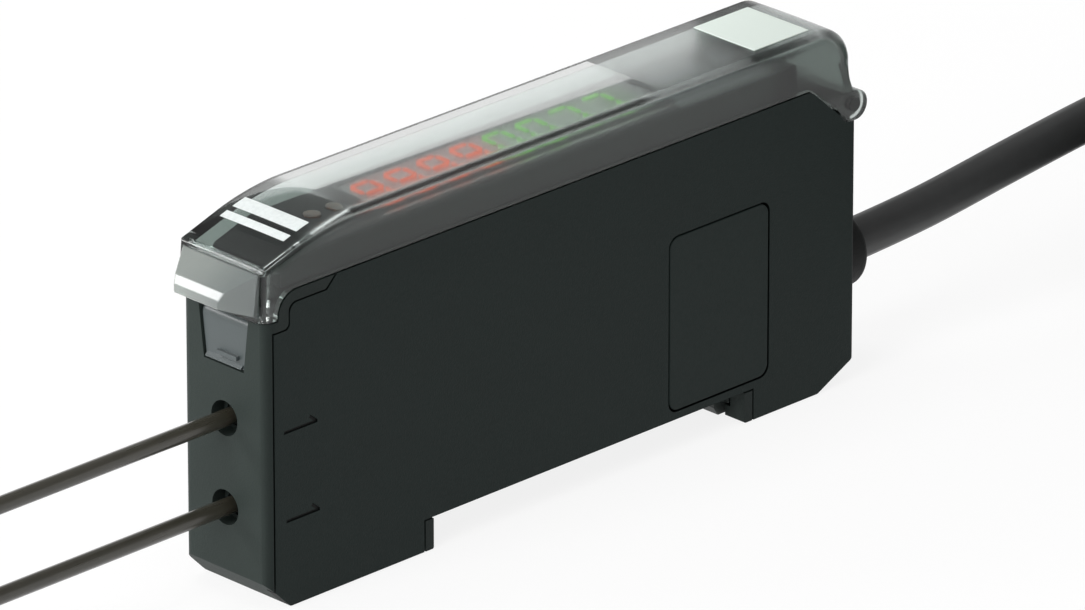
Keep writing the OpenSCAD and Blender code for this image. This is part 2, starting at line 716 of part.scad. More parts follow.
// Lock lever: tapered plate on a round hub, with a cam lobe behind and a nail ridge in front
module lock_lever() {
    half = body_w / 2;
    lobe = lever_axis + lobe_at;
    lobe_y = around(0, clamp_w / 2 - play);
    color("#6d7476") placed() {
        intersection() {
            lever_form(0, [-cut, lever_axis.x + 2 * lever_hub_r]);
            union() {
                bar_y(lever_hub_r, lever_axis.x, [-half, half], lever_axis.y);
                block([lever_face, lever_face + lever_t], [-half, half], [lever_z, lever_axis.y]);
            }
        }
        block([lever_face - ridge_t, lever_face + fuse], ridge_y, around(lever_z + ridge_up, ridge_t / 2));
        // Lip along the lower edge, sloped on top
        slab([[lever_face + fuse, lever_z + fuse], [lever_face - lever_lip, lever_z + fuse],
            [lever_face - lever_lip, lever_z + lever_lip / 2],
            [lever_face + fuse, lever_z + 1.5 * lever_lip + fuse]], around(0, lever_w_low / 2 - fuse));
        bar_y(lever_pin_r, lever_axis.x, around(0, lever_pin_y), lever_axis.y);
        slab([lever_axis - [0, 0.7], lobe - [0, lobe_r - 0.05], lobe + [0, lobe_r - 0.05],
            lever_axis + [0, 0.5]], lobe_y);
        bar_y(lobe_r, lobe.x, lobe_y, lobe.y);
    }
}

// Clamp plate that grips both fibre sleeves and drops when the lever opens
module fibre_clamp() {
    through = [clamp_x - cut, clamp_x + clamp_t + cut];
    color("#9aa1a4") placed() difference() {
        block([clamp_x, clamp_x + clamp_t], around(0, clamp_w / 2), [clamp_bottom, clamp_top]);
        for (z = fibre_zs) {
            bar_x(clamp_slot_r, through, 0, z);
            bar_x(clamp_slot_r, through, 0, z + clamp_drop);
            block(through, around(0, clamp_slot_r), [z, z + clamp_drop]);
        }
    }
}

// Sleeve that centres a thin fibre in its bore
module sleeve(z) {
    difference() {
        bar_x(sleeve_d / 2, [mouth_depth + 0.2, fibre_end_x - 1.2], 0, z);
        bar_x(fibre_d / 2 + pin_gap, [0, fibre_end_x], 0, z);
    }
}

module upper_sleeve() {
    color("#1b1f20") placed() sleeve(fibre_z_upper);
}

module lower_sleeve() {
    color("#1b1f20") placed() sleeve(fibre_z_lower);
}

// Spring-loaded hook in the slide under the heel
module rail_hook() {
    x = [hook_x, hook_x + hook_len];
    neck = around(0, lip_w / 2 - slide_play);
    color("#2a3031") placed() difference() {
        union() {
            block(x, neck, [play, slide_z[0] + slide_play + fuse]);
            block([x[0] + play, x[1]], around(0, lip_w / 2 + slide_step - slide_play),
                [slide_z[0] + slide_play, slide_z[1] - play]);
            translate([hook_x, 0, 0]) mirror([1, 0, 0]) intersection() {
                lip(lip_reach, play);
                block([-cut, lip_reach + cut], neck, [0, foot_h]);
            }
        }
        bar_x(spring_r + spring_wire + slide_play, [x[1] - spring_pocket, x[1] + cut], 0, spring_z);
    }
}

module hook_spring() {
    start = hook_x + hook_len - spring_pocket + spring_wire;
    reach = slide_end - spring_wire - start;
    steps = spring_turns * 12;
    color("#b8bcc0") placed() tube([for (i = [0:steps]) [start + reach * i / steps,
        spring_r * cos(30 * i), spring_z + spring_r * sin(30 * i)]], spring_wire, 6);
}

// Cable gland: boss outside, neck through the rear wall, flange inside
module cable_gland() {
    inner = -rear_wall - gland_flange_t;
    color("#262b2b") placed() translate([body_len, 0, gland_z]) difference() {
        rotate([0, 90, 0]) rotate_extrude() polygon(rounded([[0, inner, 0], [gland_flange_r, inner, 0.2],
            [gland_flange_r, -rear_wall, 0], [gland_neck_r, -rear_wall, 0], [gland_neck_r, 0, 0],
            [gland_r, 0, 0], [gland_r, gland_reach, 0.9], [0, gland_reach, 0]]));
        bar_x(cable_d / 2 + pin_gap, [gland_reach - gland_socket - 2 * pin_gap, gland_reach + cut], 0, 0);
    }
}

// The cable's cores from the gland to the main board
module cable_cores() {
    start = body_len - rear_wall - gland_flange_t;
    end_y = board_y - core_r;
    color("#7a4a35") placed() for (i = [-1.5:1:1.5]) {
        z = gland_z + i * core_step;
        root_z = gland_z + i * core_step * 0.7;
        tube(smooth([[start, 0, root_z], [start - 0.6, 0, root_z], [start - 1.6, 0.4, z],
            [start - 3, end_y, z], [start - 5, end_y, z]], 2), core_r, 6);
    }
}

// Sensing fibres, their coils on the surface under the feet, and their threaded heads
module fibre_coil(x) {
    translate([x, coil_y, -foot_h]) rotate_extrude($fn = 64) polygon(rounded([[coil_in_r, 0, coil_edge_r],
        [coil_out_r, 0, coil_edge_r], [coil_out_r, coil_h, coil_edge_r], [coil_in_r, coil_h, coil_edge_r]]));
}

module fibre_head(x) {
    tip = head_boot_len + head_len;
    rim = 0.3;
    translate([x, coil_y - coil_r, -foot_h + coil_h + head_r + head_lift]) rotate([0, 90, 0])
        rotate_extrude() polygon([[0, 0], [head_boot_r, 0], [head_boot_r, head_boot_len],
            [head_r, head_boot_len], [head_r, tip - rim], [head_r - rim, tip], [0, tip]]);
}

module upper_fibre() {
    color("#2b2724") tube(smooth(upper_route, 3), fibre_d / 2, cord_sides);
}

module upper_fibre_coil() {
    color("#2b2724") fibre_coil(coil_xs[0]);
}

module upper_fibre_head() {
    color("#b9bcbe") fibre_head(coil_xs[0]);
}

module lower_fibre() {
    color("#2b2724") tube(smooth(lower_route, 2), fibre_d / 2, cord_sides);
}

module lower_fibre_coil() {
    color("#2b2724") fibre_coil(coil_xs[1]);
}

module lower_fibre_head() {
    color("#b9bcbe") fibre_head(coil_xs[1]);
}

module output_cable() {
    color("#262b2b") tube(smooth(cable_route, 2), cable_d / 2, cord_sides);
}

// A long form with round ends, between two heights
module hank_form(r, z) {
    ends = [hank_x[0] + hank_end_r, hank_x[1] - hank_end_r];
    block(ends, [-r, r], z);
    for (x = ends) translate([x, 0, z[0]]) cylinder(r = r, h = z[1] - z[0]);
}

module output_cable_hank() {
    color("#262b2b") translate([0, hank_y, -foot_h]) difference() {
        hank_form(hank_end_r, [0, hank_h]);
        hank_form(hank_in_r, [-cut, hank_h + cut]);
    }
}

main_case();
side_panel();
link_window();
link_window_far();
top_cover();
cover_label();
operating_panel();
display_window();
display_module();
indicator_lenses();
rocker_key();
set_button();
mode_switch();
key_board();
tact_switches();
switch_base();
main_board();
board_chips();
emitter_led();
receiver_diode();
lock_lever();
fibre_clamp();
upper_sleeve();
lower_sleeve();
rail_hook();
hook_spring();
cable_gland();
cable_cores();
upper_fibre();
upper_fibre_coil();
upper_fibre_head();
lower_fibre();
lower_fibre_coil();
lower_fibre_head();
output_cable();
output_cable_hank();
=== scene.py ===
# %% [markdown]
# # A slim fibre optic sensor amplifier
# The packed model is the frame: every piece below is in metres, in the same axes as the solids.
# X runs from the fibre end to the cable end, Y along the rail and Z up, with the origin on the rail seat.
# The box of the solids is kept first, so that the finished look can be measured against it at the end.

# %% Load the frame
from math import cos, pi, radians, sin

import bmesh
import bpy
from mathutils import Matrix, Vector


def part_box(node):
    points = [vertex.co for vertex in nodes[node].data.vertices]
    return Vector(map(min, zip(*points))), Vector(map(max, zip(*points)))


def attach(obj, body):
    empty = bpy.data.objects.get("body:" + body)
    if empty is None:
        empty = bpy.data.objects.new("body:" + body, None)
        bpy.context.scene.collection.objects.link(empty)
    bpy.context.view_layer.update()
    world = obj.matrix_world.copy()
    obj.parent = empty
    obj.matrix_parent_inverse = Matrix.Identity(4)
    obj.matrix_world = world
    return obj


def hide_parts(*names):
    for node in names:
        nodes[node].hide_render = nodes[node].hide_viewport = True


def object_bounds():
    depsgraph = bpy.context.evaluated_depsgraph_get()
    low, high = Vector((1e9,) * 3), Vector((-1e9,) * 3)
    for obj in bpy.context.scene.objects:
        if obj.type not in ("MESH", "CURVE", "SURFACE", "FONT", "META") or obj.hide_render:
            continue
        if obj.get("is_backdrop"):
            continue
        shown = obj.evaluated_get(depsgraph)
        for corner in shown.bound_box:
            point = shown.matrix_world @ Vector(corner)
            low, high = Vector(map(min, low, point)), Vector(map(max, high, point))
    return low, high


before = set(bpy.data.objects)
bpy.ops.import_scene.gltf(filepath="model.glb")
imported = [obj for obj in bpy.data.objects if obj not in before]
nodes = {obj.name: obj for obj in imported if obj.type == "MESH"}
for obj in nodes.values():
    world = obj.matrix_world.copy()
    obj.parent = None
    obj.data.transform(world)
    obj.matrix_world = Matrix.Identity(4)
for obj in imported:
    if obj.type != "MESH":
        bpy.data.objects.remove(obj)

cad_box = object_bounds()
scene = bpy.context.scene
scene.view_settings.view_transform = "Standard"
MM = 0.001
print("solids:", len(nodes), "box in mm:", [[round(v / MM, 2) for v in corner] for corner in cad_box])

# %% [markdown]
# ## The camera
# The picture was taken from far away with a long lens, so upright edges stay nearly parallel.
# The camera looks back along one direction, given by an azimuth and an elevation. Its target is the point
# that falls in the middle of the picture.

# %% Place the camera
CAMERA_AZIMUTH, CAMERA_ELEVATION = radians(-44.56), radians(23.27)
CAMERA_TARGET = Vector((-5.5, -4.9, 14.74)) * MM
CAMERA_DISTANCE, FAR_CLIP = 1.0575, 20
SENSOR_MM, LENS_MM = 36, 437.6


def aim(back):
    """Right, up and back directions of something that looks along -back."""
    right = Vector((0, 0, 1)).cross(back).normalized()
    return right, back.cross(right), back


def placed(axes, at):
    """A matrix with those three axes and that place."""
    matrix = Matrix(axes).transposed().to_4x4()
    matrix.translation = at
    return matrix


view_back = Vector((sin(CAMERA_AZIMUTH) * cos(CAMERA_ELEVATION),
                    -cos(CAMERA_AZIMUTH) * cos(CAMERA_ELEVATION), sin(CAMERA_ELEVATION)))
lens = bpy.data.cameras.new("camera")
lens.sensor_fit, lens.sensor_width, lens.lens = "HORIZONTAL", SENSOR_MM, LENS_MM
lens.clip_end = FAR_CLIP
camera = bpy.data.objects.new("camera", lens)
camera.matrix_world = placed(aim(view_back), CAMERA_TARGET + CAMERA_DISTANCE * view_back)
scene.collection.objects.link(camera)
scene.camera = camera
print("camera at", [round(v, 3) for v in camera.matrix_world.translation])

# %% [markdown]
# ## Finishes: shader maths as Python
# A finish is a node tree, and its sums read best as plain expressions.
# `Value` wraps one socket, and each operator adds the Math node it needs. The reflected forms let a plain
# number stand first, as in `1 - mask`.


# %% A socket with arithmetic
class Value:
    """One socket of a finish, with arithmetic."""

    def __init__(self, finish, socket):
        self.finish, self.socket = finish, socket

    def math(self, operation, a, b, clamp=False):
        return self.finish.node("ShaderNodeMath", {"operation": operation, "use_clamp": clamp}, {0: a, 1: b})

    def __add__(self, other):
        return self.math("ADD", self, other)

    def __radd__(self, other):
        return self.math("ADD", other, self)

    def __sub__(self, other):
        return self.math("SUBTRACT", self, other)

    def __rsub__(self, other):
        return self.math("SUBTRACT", other, self)

    def __mul__(self, other):
        return self.math("MULTIPLY", self, other)

    def __rmul__(self, other):
        return self.math("MULTIPLY", other, self)

    def clamped(self):
        return self.math("ADD", self, 0, clamp=True)

    def at_least(self, other):
        return self.math("MAXIMUM", self, other)


print("reflected forms:", [name for name in vars(Value) if name.startswith("__r")])

# %% [markdown]
# Every other node comes from `Nodes.node`: it takes the type, the settings, which are set first, and then the
# values or links of its sockets. The short methods under it name the few nodes that come back in each finish.
# Patterns read Object coordinates, so they stay on their piece when it moves.

# %% Nodes by name
X, Y, Z = 0, 1, 2
NOISE_ROUGHNESS = 0.55


class Nodes:
    """A node tree that is filled by expressions."""

    def __init__(self, tree):
        self.tree = tree

    def node(self, kind, settings=None, sockets=None, output=0):
        made = self.tree.nodes.new(kind)
        for name, value in (settings or {}).items():
            setattr(made, name, value)
        for name, value in (sockets or {}).items():
            self.put(made.inputs[name], value)
        return Value(self, made.outputs[output])

    def put(self, socket, value):
        if isinstance(value, Value):
            self.tree.links.new(value.socket, socket)
        elif isinstance(value, tuple) and len(value) == 3 and socket.type == "RGBA":
            socket.default_value = (*value, 1)
        else:
            socket.default_value = value

    def place(self):
        return self.node("ShaderNodeTexCoord", output="Object")

    def along(self, axis):
        """The X, Y or Z coordinate in millimetres."""
        return self.node("ShaderNodeSeparateXYZ", {}, {0: self.place()}, axis) * 1000

    def noise(self, size_mm, detail=2.0, stretch=None):
        where = self.place()
        if stretch:
            where = self.node("ShaderNodeMapping", {}, {"Vector": where, "Scale": stretch})
        return self.node("ShaderNodeTexNoise", {}, {"Vector": where, "Scale": 1 / (size_mm * MM),
                                                    "Detail": detail, "Roughness": NOISE_ROUGHNESS})

    def grains(self, size_mm):
        return self.node("ShaderNodeTexVoronoi", {}, {"Vector": self.place(), "Scale": 1 / (size_mm * MM)})

    def size(self, value):
        return self.node("ShaderNodeMath", {"operation": "ABSOLUTE"}, {0: value})

    def mix(self, factor, a, b):
        return self.node("ShaderNodeMix", {"data_type": "RGBA"}, {0: factor, 6: a, 7: b}, 2)

    def step(self, value, low, high):
        """0 below low, 1 above high, smooth between."""
        return self.node("ShaderNodeMapRange", {"interpolation_type": "SMOOTHSTEP"},
                         {"Value": value, "From Min": low, "From Max": high})

    def rays(self, *kinds):
        """1 where the light path is of one of these kinds, else 0."""
        found = [self.node("ShaderNodeLightPath", output=f"Is {kind} Ray") for kind in kinds]
        for other in found[1:]:
            found[0] = found[0].at_least(other)
        return found[0]


print("node helpers:", [name for name in vars(Nodes) if not name.startswith("__")])

# %% [markdown]
# A finish is a material with one Principled shader. What is the same all over the surface is set on the
# shader's own sockets when the finish is made, and `feed` links what varies.


# %% A finish
class Finish(Nodes):
    """A material with a Principled shader and its node tree."""

    def __init__(self, name, **constants):
        self.material = bpy.data.materials.new(name)
        self.material.use_nodes = True
        super().__init__(self.material.node_tree)
        self.shader = self.tree.nodes["Principled BSDF"]
        for socket, value in constants.items():
            self.shader.inputs[socket.replace("_", " ")].default_value = value

    def feed(self, **links):
        for socket, value in links.items():
            self.put(self.shader.inputs[socket.replace("_", " ")], value)
        return self

    def bump(self, height, depth_mm):
        sockets = {"Height": height, "Strength": 1.0, "Distance": depth_mm * MM}
        return self.feed(Normal=self.node("ShaderNodeBump", {}, sockets))


def dim(colour, share):
    return tuple(c * share for c in colour)


print("half of white is", dim((1, 1, 1), 0.5))

# %% [markdown]
# ## Plastics and rubber
# The case is glass-filled nylon, spark-eroded in the mould: nearly black, a little green, with a fine grain
# that scatters the light. The same recipe with other numbers gives the keys, the lever and the gland.
# A colour may change across the width: the near side of the case carries painted shade, darker than its
# front, and the sunk marks of the side panel carry painted shade, darker than its face. The side panel's own
# colour is a painted-shade copy of the case's.

# %% Moulded plastic
CLOUD_MM, FLECK_GRAINS, FLECK_SHARE, FLECK_ROUGH = 6, 2.5, 0.3, 0.06


def moulded(name, colour, rough, grain_mm, depth_mm, cloud=0.12, beyond=None, **constants):
    """Plastic with slow cloudy shifts of tone and a fine eroded grain.

    `beyond` gives two places across the width, in mm, and the colour that takes over between them.
    """
    finish = Finish(name, **constants)
    grain = finish.grains(grain_mm)
    fleck = finish.noise(grain_mm * FLECK_GRAINS, 1)
    clouds = (finish.noise(CLOUD_MM, 3) * (1 - FLECK_SHARE) + fleck * FLECK_SHARE).clamped()

    def clouded(shade):
        return finish.mix(clouds, dim(shade, 1 - cloud), dim(shade, 1 + cloud))

    tone = clouded(colour)
    if beyond:
        low, high, other = beyond
        tone = finish.mix(finish.step(finish.along(Y), low, high), tone, clouded(other))
    finish.feed(Base_Color=tone, Roughness=(rough - FLECK_ROUGH + 2 * FLECK_ROUGH * fleck).clamped())
    return finish.bump(grain, depth_mm).material


MATT = {"Specular_IOR_Level": 0.2}
POLISH = {"Coat_Weight": 0.25, "Coat_Roughness": 0.15}
# The near-side colour of the case is painted shade: the case colour darkened for the side that lies in shade.
CASE, CASE_IN_SHADE, PANEL_IN_SHADE = (0.0235, 0.0320, 0.0290), (0.0088, 0.0140, 0.0126), (0.0065, 0.0125, 0.0112)
case_finish = moulded("case_plastic", CASE_IN_SHADE, 0.6, 0.16, 0.012, beyond=(-4.95, -3.95, CASE), **MATT)
# The side panel's colour is painted shade: a darker copy of the case colour, for the side that lies in shade.
# The link windows take it too.
panel_finish = moulded("side_panel_plastic", PANEL_IN_SHADE, 0.62, 0.15, 0.014,
                       # the marks sunk in the panel get painted shade: a tenth of its colour
                       beyond=(-4.88, -4.8, dim(PANEL_IN_SHADE, 0.1)), **MATT)
window_finish = moulded("link_window_plastic", dim(PANEL_IN_SHADE, 1.08), 0.6, 0.12, 0.006, 0.08, **MATT)
hook_finish = moulded("hook_plastic", dim(CASE, 0.85), 0.5, 0.2, 0.008)
key_finish = moulded("key_plastic", (0.36, 0.39, 0.40), 0.45, 0.2, 0.006, 0.06)
knob_finish = moulded("knob_plastic", (0.62, 0.65, 0.65), 0.42, 0.2, 0.005, 0.05)
lever_finish = moulded("lever_plastic", (0.057, 0.071, 0.073), 0.4, 0.22, 0.005, 0.1, **POLISH)
clamp_finish = moulded("clamp_plastic", (0.32, 0.35, 0.36), 0.5, 0.25, 0.006)
sleeve_finish = moulded("sleeve_plastic", (0.02, 0.022, 0.022), 0.45, 0.2, 0.004)
gland_finish = moulded("gland_rubber", (0.010, 0.0105, 0.0105), 0.62, 0.18, 0.012, **MATT)
chip_finish = moulded("chip_epoxy", (0.022, 0.023, 0.025), 0.5, 0.1, 0.004)
print("moulded finishes end with", chip_finish.name, "which has", len(chip_finish.node_tree.nodes), "nodes")

# %% [markdown]
# ## Cord sheaths and metal
# A sheath comes out of an extruder, so its faint streaks run along the cord: the noise is stretched that way.
# Turned metal has fine tool lines across its axis and small stains.

# %% Sheath and turned metal
STREAK_STRETCH, STREAK_ROUGH, SPOT_MM = (0.06, 1, 1), 0.08, 1.2
TOOL_STRETCH, TOOL_MM, STAIN_MM = (6, 0.4, 0.4), 0.09, 1.6


def sheath(name, colour, rough, streak_mm, depth_mm, **constants):
    """Extruded sheath: long faint streaks along the cord and a soft sheen."""
    finish = Finish(name, **constants)
    streaks = finish.noise(streak_mm, 2, STREAK_STRETCH)
    spots = finish.noise(SPOT_MM, 2)
    tone = finish.mix(spots, dim(colour, 0.85), dim(colour, 1.2))
    finish.feed(Base_Color=tone, Roughness=(rough - STREAK_ROUGH + 2 * STREAK_ROUGH * streaks).clamped())
    return finish.bump(streaks, depth_mm).material


def turned(name, colour, rough, depth_mm):
    """Turned or stamped metal with fine tool lines and small stains."""
    finish = Finish(name, Metallic=1.0)
    lines = finish.noise(TOOL_MM, 2, TOOL_STRETCH)
    stains = finish.noise(STAIN_MM, 3)
    finish.feed(Base_Color=finish.mix(stains, dim(colour, 0.82), colour),
                Roughness=(rough - 0.08 + 0.12 * lines + 0.1 * stains).clamped())
    return finish.bump(lines, depth_mm).material


fibre_finish = sheath("fibre_sheath", (0.036, 0.033, 0.024), 0.3, 0.3, 0.006, Coat_Weight=0.35,
                      Coat_Roughness=0.18)
cable_finish = sheath("cable_sheath", (0.028, 0.029, 0.029), 0.5, 0.5, 0.012)
core_finish = sheath("core_sheath", (0.20, 0.08, 0.04), 0.4, 0.3, 0.006)
steel_finish = turned("turned_steel", (0.62, 0.63, 0.64), 0.3, 0.004)
print("sheaths and metal:", fibre_finish.name, cable_finish.name, core_finish.name, steel_finish.name)

# %% [markdown]
# ## Circuit boards
# The boards are inside, out of sight until pieces are taken off. A brick pattern stands for the tracks: its
# joints are the copper, a little raised under the green mask.


# %% Circuit board
def circuit_board():
    """Green solder mask with faint copper tracks under it."""
    finish = Finish("solder_mask", Coat_Weight=0.5, Coat_Roughness=0.2)
    tracks = finish.node("ShaderNodeTexBrick", {"offset": 0.37}, {
        "Vector": finish.place(), "Scale": 420.0, "Mortar Size": 0.06, "Color1": (0, 0, 0),
        "Color2": (0.25, 0.25, 0.25), "Mortar": (1, 1, 1)})
    lift = finish.node("ShaderNodeSeparateColor", {}, {0: tracks})
    tone = finish.mix(lift, (0.022, 0.10, 0.045), (0.05, 0.20, 0.085))
    finish.feed(Base_Color=tone, Roughness=(0.34 + 0.12 * finish.noise(0.8)).clamped())
    return finish.bump(lift, 0.02).material


board_finish = circuit_board()
print("board finish:", board_finish.name)

# %% [markdown]
# ## The cords come first
# Two plastic fibres leave the front, and the output cable leaves the back. Each is 2 m long, so what the
# camera doesn't see is wound up beside its route, on the surface the unit stands on.
# A cord is a curve with a round bevel: its points are the route's, smoothed, followed by the winding.

# %% Cord helpers
FIBRE_D, CABLE_D = 1.4, 3.6
ROUTE_STEPS, ROUND_STEPS = 5, 4


def smoothed(points, steps):
    """Catmull-Rom points through the route's own points, in millimetres."""
    points = [Vector(p) for p in points]
    line = []
    for i in range(len(points) - 1):
        a, b, c, d = (points[max(0, min(len(points) - 1, i + k))] for k in (-1, 0, 1, 2))
        for k in range(steps):
            t = k / steps
            line.append(0.5 * (2 * b + (c - a) * t + (2 * a - 5 * b + 4 * c - d) * t * t
                               + (3 * b - a - 3 * c + d) * t ** 3))
    return line + [points[-1]]


def wind(stations, at, per_turn):
    """Points of a winding: a station (reach, height) per turn, and at(fraction, reach, height) its place."""
    line = []
    for (r0, z0), (r1, z1) in zip(stations, stations[1:]):
        for k in range(1, per_turn + 1):
            t = k / per_turn
            line.append(at(t, r0 + (r1 - r0) * t, z0 + (z1 - z0) * t))
    return line


def cord_piece(name, route, winding, diameter, finish):
    """A curve of one open spline through the route and the winding, with round fill."""
    line = smoothed(route, ROUTE_STEPS) + winding
    curve = bpy.data.curves.new(name, "CURVE")
    curve.dimensions, curve.bevel_depth, curve.bevel_resolution = "3D", diameter / 2 * MM, ROUND_STEPS
    curve.use_fill_caps = True
    spline = curve.splines.new("POLY")
    spline.points.add(len(line) - 1)
    for point, at in zip(spline.points, line):
        point.co = (*(at * MM), 1)
    curve.materials.append(finish)
    piece = bpy.data.objects.new(name, curve)
    scene.collection.objects.link(piece)
    length = sum((b - a).length for a, b in zip(line, line[1:]))
    print(f"{name}: {len(line)} points, {length:.0f} mm long")
    return piece


print("cords are", FIBRE_D, "and", CABLE_D, "mm thick")

# %% [markdown]
# A fibre's coil is wound as by hand: down the outside first, then layer on layer, in and out again.
# The last half turn climbs on top, where the threaded head lies.

# %% Coil of a fibre
FLOOR_Z = -2.8
LANES = [5.5, 6.95, 8.4, 9.85, 11.3]
COIL_X, COIL_Y, LAYER, LAYERS, TURN_STEPS = (-107, -82.9), -11.3, 1.45, 8, 28
COIL_LOW, COIL_ENTRY, COIL_TOP, HEAD_Z = FLOOR_Z + LAYER / 2, 5.05, 8.075, 10.85


def coil_stations():
    layers = [COIL_LOW + LAYER * k for k in range(LAYERS)]
    stations = [(LANES[4], COIL_ENTRY)] + [(LANES[4], z) for z in reversed(layers[:5])]
    for k, z in enumerate(layers):
        lanes = LANES[:4] if k % 2 else LANES[3::-1]
        stations += [(r, z) for r in (lanes[:3] if k == LAYERS - 1 else lanes)]
    return stations


def coil_line(centre_x):
    def at(t, r, z):
        angle = pi / 2 + 2 * pi * t
        return Vector((centre_x + r * cos(angle), COIL_Y + r * sin(angle), z))

    line = wind(coil_stations(), at, TURN_STEPS)
    half_turn = TURN_STEPS // 2
    for k in range(1, half_turn + 1):
        climb = k / half_turn
        rise = climb * climb * (3 - 2 * climb)
        line.append(at(climb / 2, LANES[2], COIL_TOP + (HEAD_Z - COIL_TOP) * rise))
    return line


print("a coil has", len(coil_stations()) - 1, "turns and a half")

# %% [markdown]
# Each fibre's route starts inside the case, leaves its mouth level, and meets its coil at the height of the
# outer turns. The upper one sinks slowly, because a plastic fibre is stiff.

# %% Lay the fibres
LOWER_ROUTE = [(-25, 0, 5), (-38.95, 0, 5), (-50, 0, 5), (-66, 0, 5), (COIL_X[1], 0, 5)]
UPPER_ROUTE = [(-25, 0, 12.7), (-38.95, 0, 12.7), (-52, 0, 12.7), (-70, 0, 12.6), (-84, 0, 11.8),
               (-94, 0, 9), (-101, 0, 6), (COIL_X[0], 0, 5)]
upper_fibre = cord_piece("upper_fibre_cord", UPPER_ROUTE, coil_line(COIL_X[0]), FIBRE_D, fibre_finish)
lower_fibre = cord_piece("lower_fibre_cord", LOWER_ROUTE, coil_line(COIL_X[1]), FIBRE_D, fibre_finish)

# %% [markdown]
# The output cable is thicker, so its spare length is folded into a long hank in line with the unit:
# down the outside, up the inside and back over the top. Its far end is cut bare, ready for wiring.

# %% Fold the cable
HANK_X, HANK_Y, HANK_STEPS, HANK_TAIL = (75, 99), -16.15, 40, 30
HANK_LANES, HANK_LAYER, HANK_LOW, HANK_LAYERS, HANK_ENTRY = (12.45, 16.15), 3.7, -0.95, 7, 4
CABLE_ROUTE = [(31.85, 0, 6.8), (34.85, 0, 6.8), (44, 0, 7.3), (54, 0, 8.4), (64, 0, 9.4), (75, 0, 10.15)]


def hank_place(t, r, z):
    """A place on a long loop: far straight, right end, near straight, left end."""
    run = HANK_X[1] - HANK_X[0]
    s = t * (2 * run + 2 * pi * r)
    if s <= run:
        return Vector((HANK_X[0] + s, HANK_Y + r, z))
    s -= run
    if s <= pi * r:
        return Vector((HANK_X[1] + r * sin(s / r), HANK_Y + r * cos(s / r), z))
    s -= pi * r
    if s <= run:
        return Vector((HANK_X[1] - s, HANK_Y - r, z))
    s -= run
    return Vector((HANK_X[0] - r * sin(s / r), HANK_Y - r * cos(s / r), z))


def hank_line():
    heights = [HANK_LOW + HANK_LAYER * k for k in range(HANK_LAYERS)]
    inner, outer = HANK_LANES
    stations = ([(outer, z) for z in reversed(heights[:HANK_ENTRY])] + [(inner, z) for z in heights]
                + [(outer, z) for z in reversed(heights[HANK_ENTRY:])])
    tail = [hank_place(k / HANK_STEPS, outer, heights[HANK_ENTRY] - HANK_LAYER * k / HANK_STEPS)
            for k in range(1, HANK_TAIL + 1)]
    return wind(stations, hank_place, HANK_STEPS) + tail


output_cable = cord_piece("output_cable_cord", CABLE_ROUTE, hank_line(), CABLE_D, cable_finish)

# %% [markdown]
# ## Making pieces from meshes
# A new piece is a bmesh in millimetres that operators shape. Three small helpers name what repeats: a bevel,
# an extrusion with its move, and the last scaling to metres. `finish_piece` then turns the bmesh into an
# object, marks which edges stay sharp, and lets it ride on its body.


# %% Mesh helpers
def rounded(bm, geom, take, segments, affect="EDGES", clamp=True):
    bmesh.ops.bevel(bm, geom=geom, offset=take, offset_type="OFFSET", affect=affect, segments=segments,
                    profile=0.5, material=-1, clamp_overlap=clamp)


def pulled(bm, faces, along):
    """The faces are extruded, and their new verts move along."""
    grown = bmesh.ops.extrude_face_region(bm, geom=faces)["geom"]
    bmesh.ops.translate(bm, verts=[v for v in grown if isinstance(v, bmesh.types.BMVert)], vec=along)


def to_metres(bm):
    bmesh.ops.scale(bm, verts=bm.verts, vec=(MM, MM, MM))


def finish_piece(name, bm, body, slot, material, *replaced, sharp_deg=32):
    for edge in bm.edges:
        edge.smooth = len(edge.link_faces) == 2 and edge.calc_face_angle(0) < radians(sharp_deg)
    for face in bm.faces:
        face.smooth = True
    mesh = bpy.data.meshes.new(name)
    bm.to_mesh(mesh)
    bm.free()
    mesh.materials.append(material)
    piece = bpy.data.objects.new(name, mesh)
    scene.collection.objects.link(piece)
    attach(piece, body)
    if replaced:
        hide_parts(*replaced)
    return piece


def soft_edges(piece, name, width_mm, segments, angle_deg):
    """A live bevel that rounds a piece's edges and leaves its flats flat in reflections."""
    bevel = piece.modifiers.new(name, "BEVEL")
    bevel.width, bevel.segments = width_mm * MM, segments
    bevel.limit_method, bevel.angle_limit = "ANGLE", radians(angle_deg)
    bevel.harden_normals = True


print("mesh helpers ready, one unit is", MM, "m")

# %% [markdown]
# ## Pieces with broken edges
# A node whose form is right is copied: its triangles are merged, flat faces are joined again, and a small
# bevel breaks its edges, as a real mould does. The highlight on such an edge makes a part look moulded.

# %% Case, panels, keys, gland and hook
MERGE_MM, FLAT_DEG, BREAK_DEG = 0.002, 0.5, 38
MOULDINGS = [
    ("main_case", "case", "case_black", case_finish, 0.09),
    ("side_panel", "case", "panel_black", panel_finish, 0.07),
    ("link_window", "case", "window_black", window_finish, 0.1),
    ("link_window_far", "case", "window_black", window_finish, 0.1),
    ("lock_lever", "lever", "lever_grey", lever_finish, 0.06),
    ("rocker_key", "rocker", "key_grey", key_finish, 0.08),
    ("set_button", "button", "key_grey", key_finish, 0.06),
    ("mode_switch", "switch", "knob_white", knob_finish, 0.06),
    ("cable_gland", "case", "gland_rubber", gland_finish, 0.12),
    ("rail_hook", "hook", "hook_black", hook_finish, 0.08)]


def softened(node, body, slot, material, edge_mm):
    """A copy of a node with its edges broken by a small round bevel."""
    bm = bmesh.new()
    bm.from_mesh(nodes[node].data)
    bmesh.ops.remove_doubles(bm, verts=bm.verts, dist=MERGE_MM * MM)
    bmesh.ops.dissolve_limit(bm, angle_limit=radians(FLAT_DEG), verts=bm.verts, edges=bm.edges)
    piece = finish_piece(node + "_piece", bm, body, slot, material, node)
    soft_edges(piece, "broken_edges", edge_mm, 2, BREAK_DEG)
    print(f"{piece.name}: {len(piece.data.polygons)} faces, edges broken by {edge_mm} mm")


for moulding in MOULDINGS:
    softened(*moulding)

